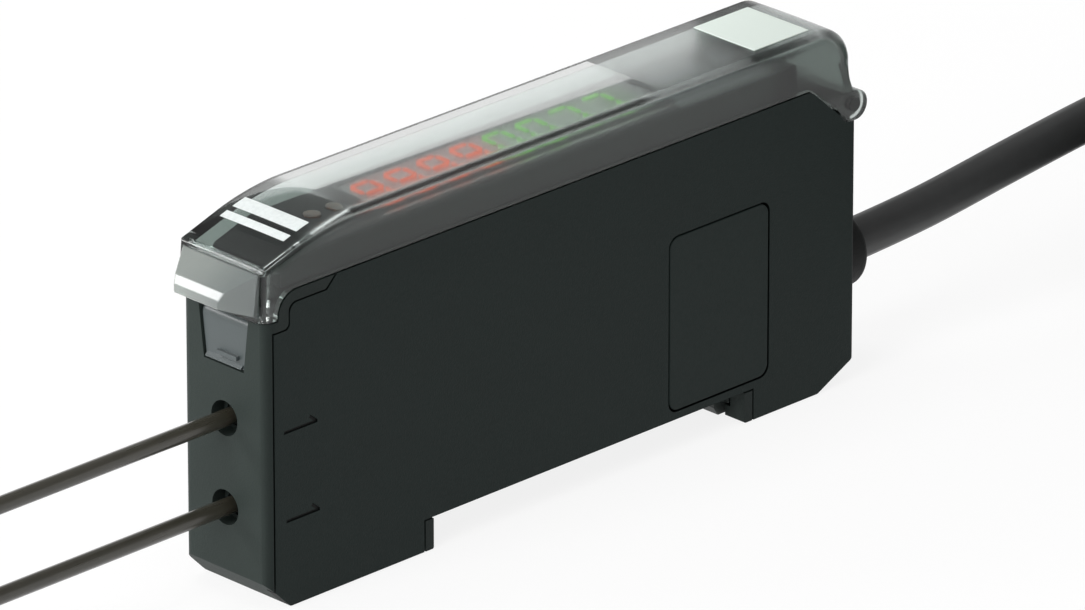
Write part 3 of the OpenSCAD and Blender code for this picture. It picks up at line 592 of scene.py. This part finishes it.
# %% [markdown]
# ## The see-through cover
# The cover is one thin clear moulding, tinted like smoke: a flat top that bends down to the fibre end, a
# leaning front, and two ears that hold the hinge. It could be cut from a box, but its side view says nearly
# everything, so it starts as that outline, a single face. Bevelled corners turn the outline into arcs.

# %% Cover outline
HALF_W = 4.9
SEAT_X, FEET = 35.95, 2.8
BIG_ARC, ARC_STEPS, SMALL_ARC_STEPS = 1, 12, 4
# corner from the fibre face and the feet, then the length its rounding takes from each side
COVER_CORNERS = [
    (-0.4, 25.0, 0), (1.2, 25.0, 0), (1.2, 27.25, 2.1), (61.27, 27.25, 0.5), (64.5, 24.42, 0.3),
    (65.15, 23.2, 0.55), (67.7, 23.2, 1.29), (67.7, 25.8, 1.29), (66.1, 25.8, 0),
    (66.1, 31.8, 3.2), (7.414, 31.8, 3.186), (0.0, 29.462, 0)]

bm = bmesh.new()
corners = [bm.verts.new((x - SEAT_X, -HALF_W, z - FEET)) for x, z, _ in COVER_CORNERS]
bm.faces.new(corners)
for vert, (_, _, take) in zip(corners, COVER_CORNERS):
    if take:
        rounded(bm, [vert], take, ARC_STEPS if take > BIG_ARC else SMALL_ARC_STEPS, "VERTICES", clamp=False)
print("side view:", len(bm.verts), "points,", len(bm.faces), "face")

# %% [markdown]
# An extrusion gives the outline its width, and the faces along the open rim and between the ears are deleted.
# A cover like this has no bottom, so that it can close over the panel.

# %% Cover width and open rim
RIM_TOP, RIM_START, SHOULDER_END, EAR_START, EAR_TOP = 27.6, -0.3, 4, 64.2, 26.35


def under_rim(face):
    """Faces along the open rim and between the ears."""
    at = face.calc_center_median()
    x, z = at.x + SEAT_X, at.z + FEET
    below = face.normal.z < -0.05 and z < RIM_TOP and x > RIM_START
    shoulder = face.normal.x > 0.3 and x < SHOULDER_END
    behind = x > EAR_START and z < EAR_TOP
    return abs(face.normal.y) < 0.5 and (below or shoulder or behind)


pulled(bm, bm.faces[:], (0, 2 * HALF_W, 0))
bmesh.ops.recalc_face_normals(bm, faces=bm.faces)
bmesh.ops.delete(bm, geom=[f for f in bm.faces if under_rim(f)], context="FACES")
print("open cover:", len(bm.faces), "faces")

# %% [markdown]
# The near long edge and the nose are rounded, while the far long edge stays crisp, as its thin dark line in
# the picture shows. The roof gets a slight crown, which no moulded flat is without, and one more operator
# gives the shell its wall. The wall comes last, so that the whole rounded skin is carried inwards at once.

# %% Cover edges and wall
COVER_WALL, TOP_ROUND, NOSE_ROUND, CROWN = 0.9, 1.1, 0.22, 0.05
TOP_STEPS, NOSE_STEPS, NOSE_DEG, NOSE_END, ROOF_LOW, WELD = 6, 3, 35, 1, 26.4, 0.01

long_edges = [e for e in bm.edges if len(e.link_faces) == 2 and all(v.co.y < 0 for v in e.verts)
              and any(abs(f.normal.y) > 0.9 for f in e.link_faces)
              and any(abs(f.normal.y) < 0.1 for f in e.link_faces)]
rounded(bm, long_edges, TOP_ROUND, TOP_STEPS, clamp=False)
nose = [e for e in bm.edges if len(e.link_faces) == 2 and e.calc_face_angle(0) > radians(NOSE_DEG)
        and all(v.co.x < NOSE_END - SEAT_X for v in e.verts)]
rounded(bm, nose, NOSE_ROUND, NOSE_STEPS)
for y in range(-3, 4):
    bmesh.ops.bisect_plane(bm, geom=bm.verts[:] + bm.edges[:] + bm.faces[:], plane_co=(0, y, 0),
                           plane_no=(0, 1, 0))
for vert in bm.verts:
    if vert.co.z > ROOF_LOW:
        vert.co.z -= CROWN * (vert.co.y / HALF_W) ** 2
bmesh.ops.remove_doubles(bm, verts=bm.verts, dist=WELD)
bmesh.ops.recalc_face_normals(bm, faces=bm.faces)
bmesh.ops.solidify(bm, geom=bm.faces[:], thickness=COVER_WALL)
print("shell:", len(bm.faces), "faces, low and high corners:",
      [[round(f(v.co[i] for v in bm.verts), 2) for i in range(3)] for f in (min, max)])

# %% [markdown]
# ## The smoke finish
# The cover is see-through polycarbonate. Its roof is polished over the display and satin behind it and beside
# it. The lower side walls, and all of the rear ones, are tinted deeper, because dark parts stand close behind
# them on the real object. Over the solid far wall there is no second face under the roof to mirror the light,
# so a clear coat along that margin makes up for it. Each mask is a range in millimetres along one axis.

# %% Places on the cover
WINDOW_END, WINDOW_Y, WINDOW_SOFT = 8.9, (-3.65, 4.6), 0.04
SLOPE_END, BEND_END, UNDERSIDE = (-34.5, -29), (-26, -24), (28.4, 28.6)
LOWER_WALL, REAR_START, SIDE_SKIN, NOSE_SKIN = (26.6, 27.9), (19, 22), (4.45, 4.8), (-35.5, -34)
EAR_X, EAR_Z, DEEP_X, DEEP_Z = (27, 28), (22.4, 23.2), (20, 23), (22.6, 23.4)
MARGIN_Y, MARGIN_X, MARGIN_Z = ((3.45, 3.65), (4.55, 4.65)), (-27, -25), (28.5, 28.7)
CLEAR_TINTS = (0.60, 0.645, 0.63), (0.66, 0.705, 0.69)
SIDE_TINT, DEEP_TINT = (0.18, 0.235, 0.21), (0.055, 0.073, 0.064)
print("polished roof across:", WINDOW_Y, "and up to x", WINDOW_END)

# %% [markdown]
# A mask is a product of soft steps, and `1 - step` ends a range that another step begins. What is satin gets
# rougher, what is a side gets darker, and the margin gets the coat.


# %% Smoke finish
def smoke():
    """Smoke-tinted polycarbonate: a polished window and slope, satin rear, darker side walls, faint wear."""
    finish = Finish("cover_smoke", Transmission_Weight=1.0, IOR=1.5, Coat_Roughness=0.03)
    x, y, z = finish.along(X), finish.along(Y), finish.along(Z)

    def edge(value, at):
        return finish.step(value, at - WINDOW_SOFT, at + WINDOW_SOFT)

    wear = finish.step(finish.noise(1.8, 4), 0.35, 0.9)
    behind = edge(x, WINDOW_END)
    beside = (1 - edge(y, WINDOW_Y[0])).at_least(edge(y, WINDOW_Y[1])) * finish.step(x, *SLOPE_END)
    inside = (1 - finish.step(z, *UNDERSIDE)) * finish.step(x, *BEND_END)
    satin = behind.at_least(beside).at_least(inside * 0.4)
    low = (1 - finish.step(z, *LOWER_WALL)).at_least(finish.step(x, *REAR_START))
    ear = (1 - finish.step(z, *EAR_Z)) * finish.step(x, *EAR_X)
    side = finish.step(finish.size(y), *SIDE_SKIN) * low * finish.step(x, *NOSE_SKIN) * (1 - 0.6 * ear)
    deep = finish.mix(finish.step(x, *DEEP_X) * finish.step(z, *DEEP_Z), SIDE_TINT, DEEP_TINT)
    margin = (finish.step(y, *MARGIN_Y[0]) * (1 - finish.step(y, *MARGIN_Y[1])) * (1 - behind)
              * finish.step(z, *MARGIN_Z) * finish.step(x, *MARGIN_X))
    finish.feed(Base_Color=finish.mix(side, finish.mix(finish.noise(9, 2), *CLEAR_TINTS), deep),
                Coat_Weight=margin, Roughness=0.035 + 0.03 * wear + 0.2 * satin)
    return finish.material


to_metres(bm)
cover = finish_piece("cover_shell", bm, "cover", "cover_smoke", smoke(), "top_cover")
soft_edges(cover, "polished_rims", width_mm=0.12, segments=2, angle_deg=50)
even = cover.modifiers.new("even_shading", "WEIGHTED_NORMAL")
even.keep_sharp = True
print(cover.name, len(cover.data.polygons), "faces")

# %% [markdown]
# ## The thumb tab
# The tab is a solid wedge on the cover's front, for the thumb that lifts it. It widens towards the wall, and
# the cut along its tip catches the light. A cube with its corners moved is all it takes. Glass within glass
# renders dark, so the tab is a piece of its own, with a milky plastic under a polished skin.

# %% Tab shape
TAB_TIP, TAB_ROOT, TAB_MIDDLE, TIP_CUT = -2.9, 0.15, (-1, 27), 0.5
TAB_Y = {TAB_TIP: (-2.5, 2.6), TAB_ROOT: (-4.1, 4.7)}
TAB_Z = {TAB_TIP: (26.4, 27.6), TAB_ROOT: (25.2, 29.05)}
tab = bmesh.new()
for vert in bmesh.ops.create_cube(tab, size=1)["verts"]:
    x = TAB_TIP if vert.co.x < 0 else TAB_ROOT
    y = TAB_Y[x][1 if vert.co.y > 0 else 0]
    z = TAB_Z[x][1 if vert.co.z > 0 else 0]
    vert.co = (x - SEAT_X, y, z - FEET)
tip_top = [e for e in tab.edges if all(v.co.x < TAB_MIDDLE[0] - SEAT_X and v.co.z > TAB_MIDDLE[1] - FEET
                                       for v in e.verts)]
rounded(tab, tip_top, TIP_CUT, 1)
to_metres(tab)
print("tab:", len(tab.faces), "faces")

# %% [markdown]
# The tab's colour carries painted light: it is painted lighter on the far side, where light comes through it,
# and fades to painted shade on the near side.


# %% Frosted finish
def frosted():
    """The tab's thicker, milky plastic under a polished skin, with painted light and shade across it."""
    finish = Finish("tab_frost", Transmission_Weight=0.5, IOR=1.5, Coat_Weight=1.0, Coat_Roughness=0.03)
    clouds = finish.noise(1.5, 3)
    # painted light on the far side, painted shade towards the near side
    painted_light_across = (0.85 * finish.step(finish.along(Y), -4.5, 3) + 0.15 * clouds).clamped()
    finish.feed(Base_Color=finish.mix(painted_light_across, (0.25, 0.285, 0.28), (0.46, 0.50, 0.47)),
                Roughness=0.2 + 0.1 * clouds)
    return finish.material


tab_piece = finish_piece("thumb_tab", tab, "cover", "cover_smoke", frosted(), sharp_deg=90)
soft_edges(tab_piece, "rounded_corners", width_mm=0.12, segments=3, angle_deg=20)
print(tab_piece.name, "has the finish", tab_piece.data.materials[0].name)

# %% [markdown]
# ## Under the cover
# The operating panel holds the display behind a dark filter, two small lamps and the keys. Its frame is dark
# round the display and light under the keys. The filter glows softly, red under the left figures and green
# under the right, as the light of the figures spreads in it.

# %% Panel finish
KEYS_START, KEYS_LEVEL = (11.05, 11.3), (26.6, 26.72)


def panel_plastic():
    """Dark frame round the display that turns light grey under the keys."""
    finish = Finish("panel_plastic")
    keys = finish.step(finish.along(X), *KEYS_START) * finish.step(finish.along(Z), *KEYS_LEVEL)
    clouds = finish.noise(5, 3)
    dark = finish.mix(clouds, (0.045, 0.048, 0.048), (0.06, 0.064, 0.064))
    light = finish.mix(clouds, (0.20, 0.22, 0.22), (0.25, 0.27, 0.27))
    finish.feed(Base_Color=finish.mix(keys, dark, light),
                Roughness=(0.5 + 0.1 * finish.noise(0.5)).clamped())
    return finish.bump(finish.grains(0.2), 0.008).material


softened("operating_panel", "case", "panel_dark", panel_plastic(), 0.08)

# %% [markdown]
# The glow is an emission that feeds on three soft ranges: where red turns green, where the row of figures
# starts and ends, and how far from the middle of the row it reaches.

# %% Display filter
GLOW_TURN, GLOW_START, GLOW_END = (-6.2, -4.4), (-21.2, -18.5), (8.6, 10.8)
GLOW_REACH, GLOW_MIDDLE = (1.2, 2.8), 0.3
RED_GLOW, GREEN_GLOW = (0.20, 0.022, 0.012), (0.035, 0.10, 0.022)


def display_filter():
    """Dark filter that carries a soft glow: red under the left figures, green under the right."""
    finish = Finish("display_filter", Coat_Weight=1.0, Coat_Roughness=0.02, Coat_IOR=1.6,
                    Emission_Strength=1.0)
    x, y = finish.along(X), finish.along(Y)
    band = finish.step(x, *GLOW_START) * (1 - finish.step(x, *GLOW_END))
    near = 1 - finish.step(finish.size(y - GLOW_MIDDLE), *GLOW_REACH)
    glow = finish.mix(finish.step(x, *GLOW_TURN), RED_GLOW, GREEN_GLOW)
    finish.feed(Base_Color=finish.mix(finish.noise(3), (0.030, 0.024, 0.024), (0.042, 0.032, 0.032)),
                Emission_Color=finish.mix(band * (0.35 + 0.65 * near), (0, 0, 0), glow),
                Roughness=(0.1 + 0.06 * finish.noise(0.6)).clamped())
    return finish.material


softened("display_window", "case", "display_smoke", display_filter(), 0.08)

# %% [markdown]
# ## Seven-segment figures
# The display shows plain numbers. Each lit bar of a figure is its own small plate that glows: six corners, of
# which two come to a point, raised a little, so that it reads as a separate bar from close by.

# %% One bar
BAR, BAR_GAP, BAR_LIFT, BAR_RISE = 0.46, 0.07, 0.01, 0.05
DISPLAY_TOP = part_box("display_window")[1][2] / MM


def add_bar(bm, start, end):
    """One pointed bar between two corners of a figure, flat on the display."""
    along = (end - start).normalized()
    across = Vector((-along.y, along.x)) * BAR / 2
    start, end = start + along * BAR_GAP, end - along * BAR_GAP
    point = along * BAR / 2
    outline = [start, start + point - across, end - point - across, end, end - point + across,
               start + point + across]
    plate = bm.faces.new([bm.verts.new((p.x, p.y, DISPLAY_TOP + BAR_LIFT)) for p in outline])
    pulled(bm, [plate], (0, 0, BAR_RISE))


print("figures lie at", round(DISPLAY_TOP, 2), "mm")

# %% [markdown]
# The bars have the usual letters, from a at the top to g in the middle. Each is given by its two ends, as
# shares of the figure's width and height.

# %% Lit figures
FIGURE_W, FIGURE_LOW, FIGURE_HIGH, FIGURE_LEAN = 2.1, -1.9, 1.8, 0.1
FIGURES = {"0": "abcdef", "7": "abc", "9": "abcdfg"}
BAR_ENDS = {"a": ((0, 1), (1, 1)), "b": ((1, 0.5), (1, 1)), "c": ((1, 0), (1, 0.5)), "d": ((0, 0), (1, 0)),
            "e": ((0, 0), (0, 0.5)), "f": ((0, 0.5), (0, 1)), "g": ((0, 0.5), (1, 0.5))}
RED_X, GREEN_X = (-20.5, -16.85, -13.2, -9.55), (-5.9, -2.2, 1.55, 5.35)


def lit(name, colour, strength):
    """A glowing bar with a slight flicker of tone."""
    finish = Finish(name, Emission_Strength=strength, Roughness=0.4)
    flicker = finish.noise(0.5, 2)
    finish.feed(Base_Color=finish.mix(flicker, dim(colour, 0.4), dim(colour, 0.5)),
                Emission_Color=finish.mix(flicker, dim(colour, 0.85), colour))
    return finish.material


def figures(name, text, lefts, material):
    bm = bmesh.new()
    for figure, left in zip(text, lefts):
        for bar in FIGURES[figure]:
            add_bar(bm, *(Vector((left + FIGURE_W * across + FIGURE_LEAN * level,
                                  FIGURE_LOW + (FIGURE_HIGH - FIGURE_LOW) * level))
                          for across, level in BAR_ENDS[bar]))
    bmesh.ops.recalc_face_normals(bm, faces=bm.faces)
    to_metres(bm)
    piece = finish_piece(name, bm, "case", "display_smoke", material)
    print(name, text, len(piece.data.polygons), "faces")


figures("red_figures", "9999", RED_X, lit("red_lit", (1.0, 0.125, 0.028), 1.0))
figures("green_figures", "0077", GREEN_X, lit("green_lit", (0.22, 0.75, 0.08), 0.75))

# %% [markdown]
# ## Prints on the cover
# Two plain white bars are printed on the slope, and a white label lies on the flat top near the hinge.
# A printed bar could be painted in the cover's material, but a strip of its own keeps a crisp edge on clear
# plastic. It is a grid whose points follow the roof, a hair above it.

# %% White bars
ROOF_TOP, ROOF_ARC, ARC_END, SLOPE_TOP, SLOPE = 31.8, 20.7, 10.6, 4.375, radians(17.5)
PRINT_LIFT, PRINT_RISE, PRINT_Y = 0.012, 0.02, (-3.2, 4.1)


def roof_mm(x):
    """Height of the cover's roof at x from the fibre face, in the frame's millimetres: flat, bend, slope."""
    arc_z = ROOF_TOP - ROOF_ARC
    if x > ARC_END:
        top = ROOF_TOP
    elif x > SLOPE_TOP:
        top = arc_z + (ROOF_ARC ** 2 - (ARC_END - x) ** 2) ** 0.5
    else:
        top = arc_z + (ROOF_ARC - (ARC_END - x) * sin(SLOPE)) / cos(SLOPE)
    return top - FEET


def ink():
    finish = Finish("white_print")
    wear = finish.noise(0.35, 3)
    finish.feed(Base_Color=finish.mix(finish.step(wear, 0.3, 0.8), (0.68, 0.72, 0.71), (0.60, 0.64, 0.63)),
                Roughness=(0.45 + 0.2 * wear).clamped())
    return finish.bump(wear, 0.01).material


def printed_bar(name, x0, x1, material):
    bm = bmesh.new()
    bmesh.ops.create_grid(bm, x_segments=10, y_segments=12, size=0.5)
    y0, y1 = PRINT_Y
    for vert in bm.verts:
        x, y = x0 + (x1 - x0) * (vert.co.x + 0.5), y0 + (y1 - y0) * (vert.co.y + 0.5)
        vert.co = (x - SEAT_X, y, roof_mm(x) - CROWN * (y / HALF_W) ** 2 + PRINT_LIFT)
    pulled(bm, bm.faces[:], (0, 0, PRINT_RISE))
    bmesh.ops.recalc_face_normals(bm, faces=bm.faces)
    to_metres(bm)
    piece = finish_piece(name, bm, "cover", "label_white", material)
    print(name, len(piece.data.polygons), "faces")


ink_finish = ink()
printed_bar("print_bar_rear", 4.95, 6.35, ink_finish)
printed_bar("print_bar_front", 3.55, 4.35, ink_finish)

# %% [markdown]
# The label is a thin sheet of paper or film. Its faint fibres run across it, so their noise is stretched.


# %% White label
def paper():
    finish = Finish("white_label")
    fibres = finish.noise(0.25, 4, (1, 3, 1))
    finish.feed(Base_Color=finish.mix(fibres, (0.625, 0.695, 0.645), (0.67, 0.74, 0.69)),
                Roughness=(0.6 + 0.15 * fibres).clamped())
    return finish.bump(fibres, 0.008).material


softened("cover_label", "cover", "label_white", paper(), 0.03)

# %% [markdown]
# ## Heads of the fibres
# A fibre ends in a threaded metal head with a soft boot. Its profile is drawn once as a short chain of edges,
# with one tooth per turn of the thread, and spun round the axis.

# %% Threaded heads
HEAD_BOOT, HEAD_LEN, HEAD_STEPS = 3.5, 10.0, 32
PITCH, THREAD_START, THREAD_REST = 0.7, 0.15, 1.4
BOOT = [(0, 0.5), (0, 0.85), (0.3, 1.08), (HEAD_BOOT - 0.2, 1.1), (HEAD_BOOT, 1.3)]
TOOTH = [(0, 1.68), (0.27, 1.98), (0.38, 1.98), (0.64, 1.68)]
TIP = [(-1.0, 1.62), (-0.9, 1.9), (-0.2, 1.9), (0, 1.7), (0, 0.55), (-0.4, 0.5), (-0.4, 0)]


def threaded_head(name, centre_x, node):
    tip = HEAD_BOOT + HEAD_LEN
    profile = list(BOOT)
    at = HEAD_BOOT + THREAD_START
    while at < tip - THREAD_REST:
        profile += [(at + x, r) for x, r in TOOTH]
        at += PITCH
    profile += [(tip + x, r) for x, r in TIP]
    axis_at = Vector((centre_x, COIL_Y - LANES[2], HEAD_Z))
    bm = bmesh.new()
    chain = [bm.verts.new(axis_at + Vector((x, 0, r))) for x, r in profile]
    edges = [bm.edges.new(pair) for pair in zip(chain, chain[1:])]
    bmesh.ops.spin(bm, geom=chain + edges, cent=axis_at, axis=(1, 0, 0), angle=2 * pi, steps=HEAD_STEPS,
                   use_merge=True)
    bmesh.ops.remove_doubles(bm, verts=bm.verts, dist=MERGE_MM)
    bmesh.ops.holes_fill(bm, edges=[e for e in bm.edges if e.is_boundary])
    bmesh.ops.recalc_face_normals(bm, faces=bm.faces)
    to_metres(bm)
    return finish_piece(name, bm, "case", "head_steel", steel_finish, node)


upper_head = threaded_head("upper_head", COIL_X[0], "upper_fibre_head")
lower_head = threaded_head("lower_head", COIL_X[1], "lower_fibre_head")
print("heads:", upper_head.name, lower_head.name, len(upper_head.data.polygons), "faces each")

# %% [markdown]
# ## Straps
# A strap round the winding holds each coil and the hank. It starts as a rectangle with rounded corners, which
# is pulled along by the strap's width. Its two end faces are removed, and a wall makes it a band.

# %% Straps
STRAP_ROUND, STRAP_STEPS, STRAP_WALL = 1.2, 4, 0.25
STRAP_LOW, COIL_STRAP_W, HANK_STRAP_W, HANK_STRAP_X = -2.78, 2.5, 4, 85
COIL_STRAP_R, COIL_STRAP_TOP, HANK_STRAP_R, HANK_STRAP_TOP = (4.62, 11.95), 8.9, (10.5, 17.98), 23.08


def strap(name, reach, top, at, along):
    """A closed band round a winding, from the inner to the outer reach and from the floor to the top."""
    bm = bmesh.new()
    (inner, outer), low = reach, STRAP_LOW
    ring = [bm.verts.new(at(r, z)) for r, z in ((inner, low), (outer, low), (outer, top), (inner, top))]
    bm.faces.new(ring)
    rounded(bm, ring, STRAP_ROUND, STRAP_STEPS, "VERTICES")
    pulled(bm, bm.faces[:], along)
    bmesh.ops.delete(bm, geom=[f for f in bm.faces if len(f.verts) > 4], context="FACES_ONLY")
    bmesh.ops.recalc_face_normals(bm, faces=bm.faces)
    bmesh.ops.solidify(bm, geom=bm.faces[:], thickness=STRAP_WALL)
    to_metres(bm)
    return finish_piece(name, bm, "case", "cable_jacket", cable_finish)


def coil_strap(name, centre_x):
    return strap(name, COIL_STRAP_R, COIL_STRAP_TOP,
                 lambda r, z: Vector((centre_x - r, COIL_Y - COIL_STRAP_W / 2, z)), (0, COIL_STRAP_W, 0))


def hank_strap(name):
    return strap(name, HANK_STRAP_R, HANK_STRAP_TOP,
                 lambda r, z: Vector((HANK_STRAP_X, HANK_Y - r, z)), (HANK_STRAP_W, 0, 0))


straps = [coil_strap("upper_coil_strap", COIL_X[0]), coil_strap("lower_coil_strap", COIL_X[1]),
          hank_strap("cable_strap")]
print("straps:", [s.name for s in straps])

# Each cord takes the place of its route and its winding's ring.

for cord, slot, replaced in ((upper_fibre, "fibre_jacket", ("upper_fibre", "upper_fibre_coil")),
                             (lower_fibre, "fibre_jacket", ("lower_fibre", "lower_fibre_coil")),
                             (output_cable, "cable_jacket", ("output_cable", "output_cable_hank"))):
    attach(cord, "case")
    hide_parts(*replaced)
print("cords declared:", upper_fibre.name, lower_fibre.name, output_cable.name)

# %% [markdown]
# ## What stays as it is
# The nodes inside the case keep their solids. Each gets the finish of its real material.


# %% Finishes of the remaining nodes
def tinted(name, colour):
    """Clear plastic with a tint, as of a lamp's lens."""
    finish = Finish(name, Transmission_Weight=0.4, IOR=1.5)
    swirl = finish.noise(0.6, 2)
    finish.feed(Base_Color=finish.mix(swirl, dim(colour, 0.85), colour),
                Roughness=(0.12 + 0.08 * swirl).clamped())
    return finish.material


REMAINING = {
    "indicator_lenses": tinted("amber_lens", (0.30, 0.12, 0.03)),
    "emitter_led": tinted("red_emitter", (0.55, 0.08, 0.06)),
    "receiver_diode": tinted("dark_receiver", (0.06, 0.07, 0.085)),
    "display_module": chip_finish, "switch_base": chip_finish, "board_chips": chip_finish,
    "key_board": board_finish, "main_board": board_finish,
    "tact_switches": steel_finish, "hook_spring": steel_finish, "fibre_clamp": clamp_finish,
    "upper_sleeve": sleeve_finish, "lower_sleeve": sleeve_finish, "cable_cores": core_finish}
for node, material in REMAINING.items():
    nodes[node].data.materials.clear()
    nodes[node].data.materials.append(material)
print("finished in place:", len(REMAINING))

# %% [markdown]
# ## Floor
# A plain white floor carries a faint shadow. What the camera, a mirror or glass sees of it is mostly a white
# glow, so that the background stays white without more light on the object.

# %% Floor
FLOOR_HALF, FLOOR_GAP, FLOOR_GLOW, GLOW_SHARE = 3, 0.0001, 1.03, 0.82


def white_floor():
    finish = Finish("white_floor", Roughness=0.9)
    finish.feed(Base_Color=finish.mix(finish.noise(400), (0.84, 0.84, 0.84), (0.86, 0.86, 0.86)))
    seen = finish.rays("Camera", "Glossy", "Transmission") * GLOW_SHARE
    glow = finish.node("ShaderNodeEmission", {}, {"Color": (1, 1, 1), "Strength": FLOOR_GLOW})
    plain = Value(finish, finish.shader.outputs[0])
    mixed = finish.node("ShaderNodeMixShader", {}, {0: seen, 1: plain, 2: glow})
    finish.put(finish.tree.nodes["Material Output"].inputs[0], mixed)
    return finish.material


bm = bmesh.new()
bmesh.ops.create_grid(bm, x_segments=4, y_segments=4, size=FLOOR_HALF)
mesh = bpy.data.meshes.new("floor")
bm.to_mesh(mesh)
bm.free()
mesh.materials.append(white_floor())
floor = bpy.data.objects.new("floor", mesh)
floor.location.z = cad_box[0][2] - FLOOR_GAP
scene.collection.objects.link(floor)
floor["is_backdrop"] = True
print("floor at", round(floor.location.z / MM, 2), "mm")

# %% [markdown]
# ## World
# The world is white behind the object. Mirrors and glass see a dome that is bright at the horizon and darkens
# upwards, so that polished edges get a gradient, and everything else gets plain soft light.

# %% White world
PLAIN_LIGHT, HORIZON, CEILING, DOME_TURN = 0.42, 0.95, 0.3, (0.2, 0.5)

world = bpy.data.worlds.new("studio")
world.use_nodes = True
scene.world = world
sky = Nodes(world.node_tree)
direction = sky.node("ShaderNodeTexCoord", output="Generated")
height = sky.node("ShaderNodeSeparateXYZ", {}, {0: direction}, Z)
dome = HORIZON + (CEILING - HORIZON) * sky.step(height, *DOME_TURN)
level = PLAIN_LIGHT + (dome - PLAIN_LIGHT) * sky.rays("Glossy", "Transmission")
background = world.node_tree.nodes["Background"]
background.inputs["Color"].default_value = (1, 1, 1, 1)
sky.put(background.inputs["Strength"], level + (1 - level) * sky.rays("Camera"))
print("world:", world.name, len(world.node_tree.nodes), "nodes")

# %% [markdown]
# ## Lamps
# Large soft lamps light the case at a plain level: the key comes from the fibre end, one hangs above, and one
# stands behind. A small card close behind the cover is there for its mirror image, the long white strip on
# the polished roof.


# %% Softboxes
def softbox(name, at, towards, width, height, watts):
    lamp = bpy.data.lights.new(name, "AREA")
    lamp.shape, lamp.size, lamp.size_y, lamp.energy = "RECTANGLE", width, height, watts
    piece = bpy.data.objects.new(name, lamp)
    piece.visible_camera = False
    at, towards = Vector(at), Vector(towards)
    piece.matrix_world = placed(aim((at - towards).normalized()), at)
    scene.collection.objects.link(piece)


softbox("key_softbox", at=(-0.85, -0.1, 0.5), towards=(0, 0, 0.01), width=0.6, height=0.5, watts=7)
softbox("top_softbox", at=(-0.1, 0.0, 1.1), towards=(0, 0, 0.02), width=0.8, height=0.5, watts=2.5)
softbox("rim_softbox", at=(-0.68, 0.76, 0.5), towards=(-0.03, 0, 0.02), width=0.5, height=0.4, watts=5)
CARD_LOW, CARD_TOP, CARD_Y, CARD_LENGTH, CARD_WATTS = 32.5, 36.0, 12.2, 56, 1.2e-3
card_at = Vector((0, CARD_Y, (CARD_LOW + CARD_TOP) / 2)) * MM
softbox("rear_card", card_at, card_at - Vector((0.04, 1, 0)), CARD_LENGTH * MM, (CARD_TOP - CARD_LOW) * MM,
        CARD_WATTS)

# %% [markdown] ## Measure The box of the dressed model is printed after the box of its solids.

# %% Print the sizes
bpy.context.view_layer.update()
print("boxes:", [[round(v / MM, 2) for v in c] for c in (*cad_box, *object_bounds())])
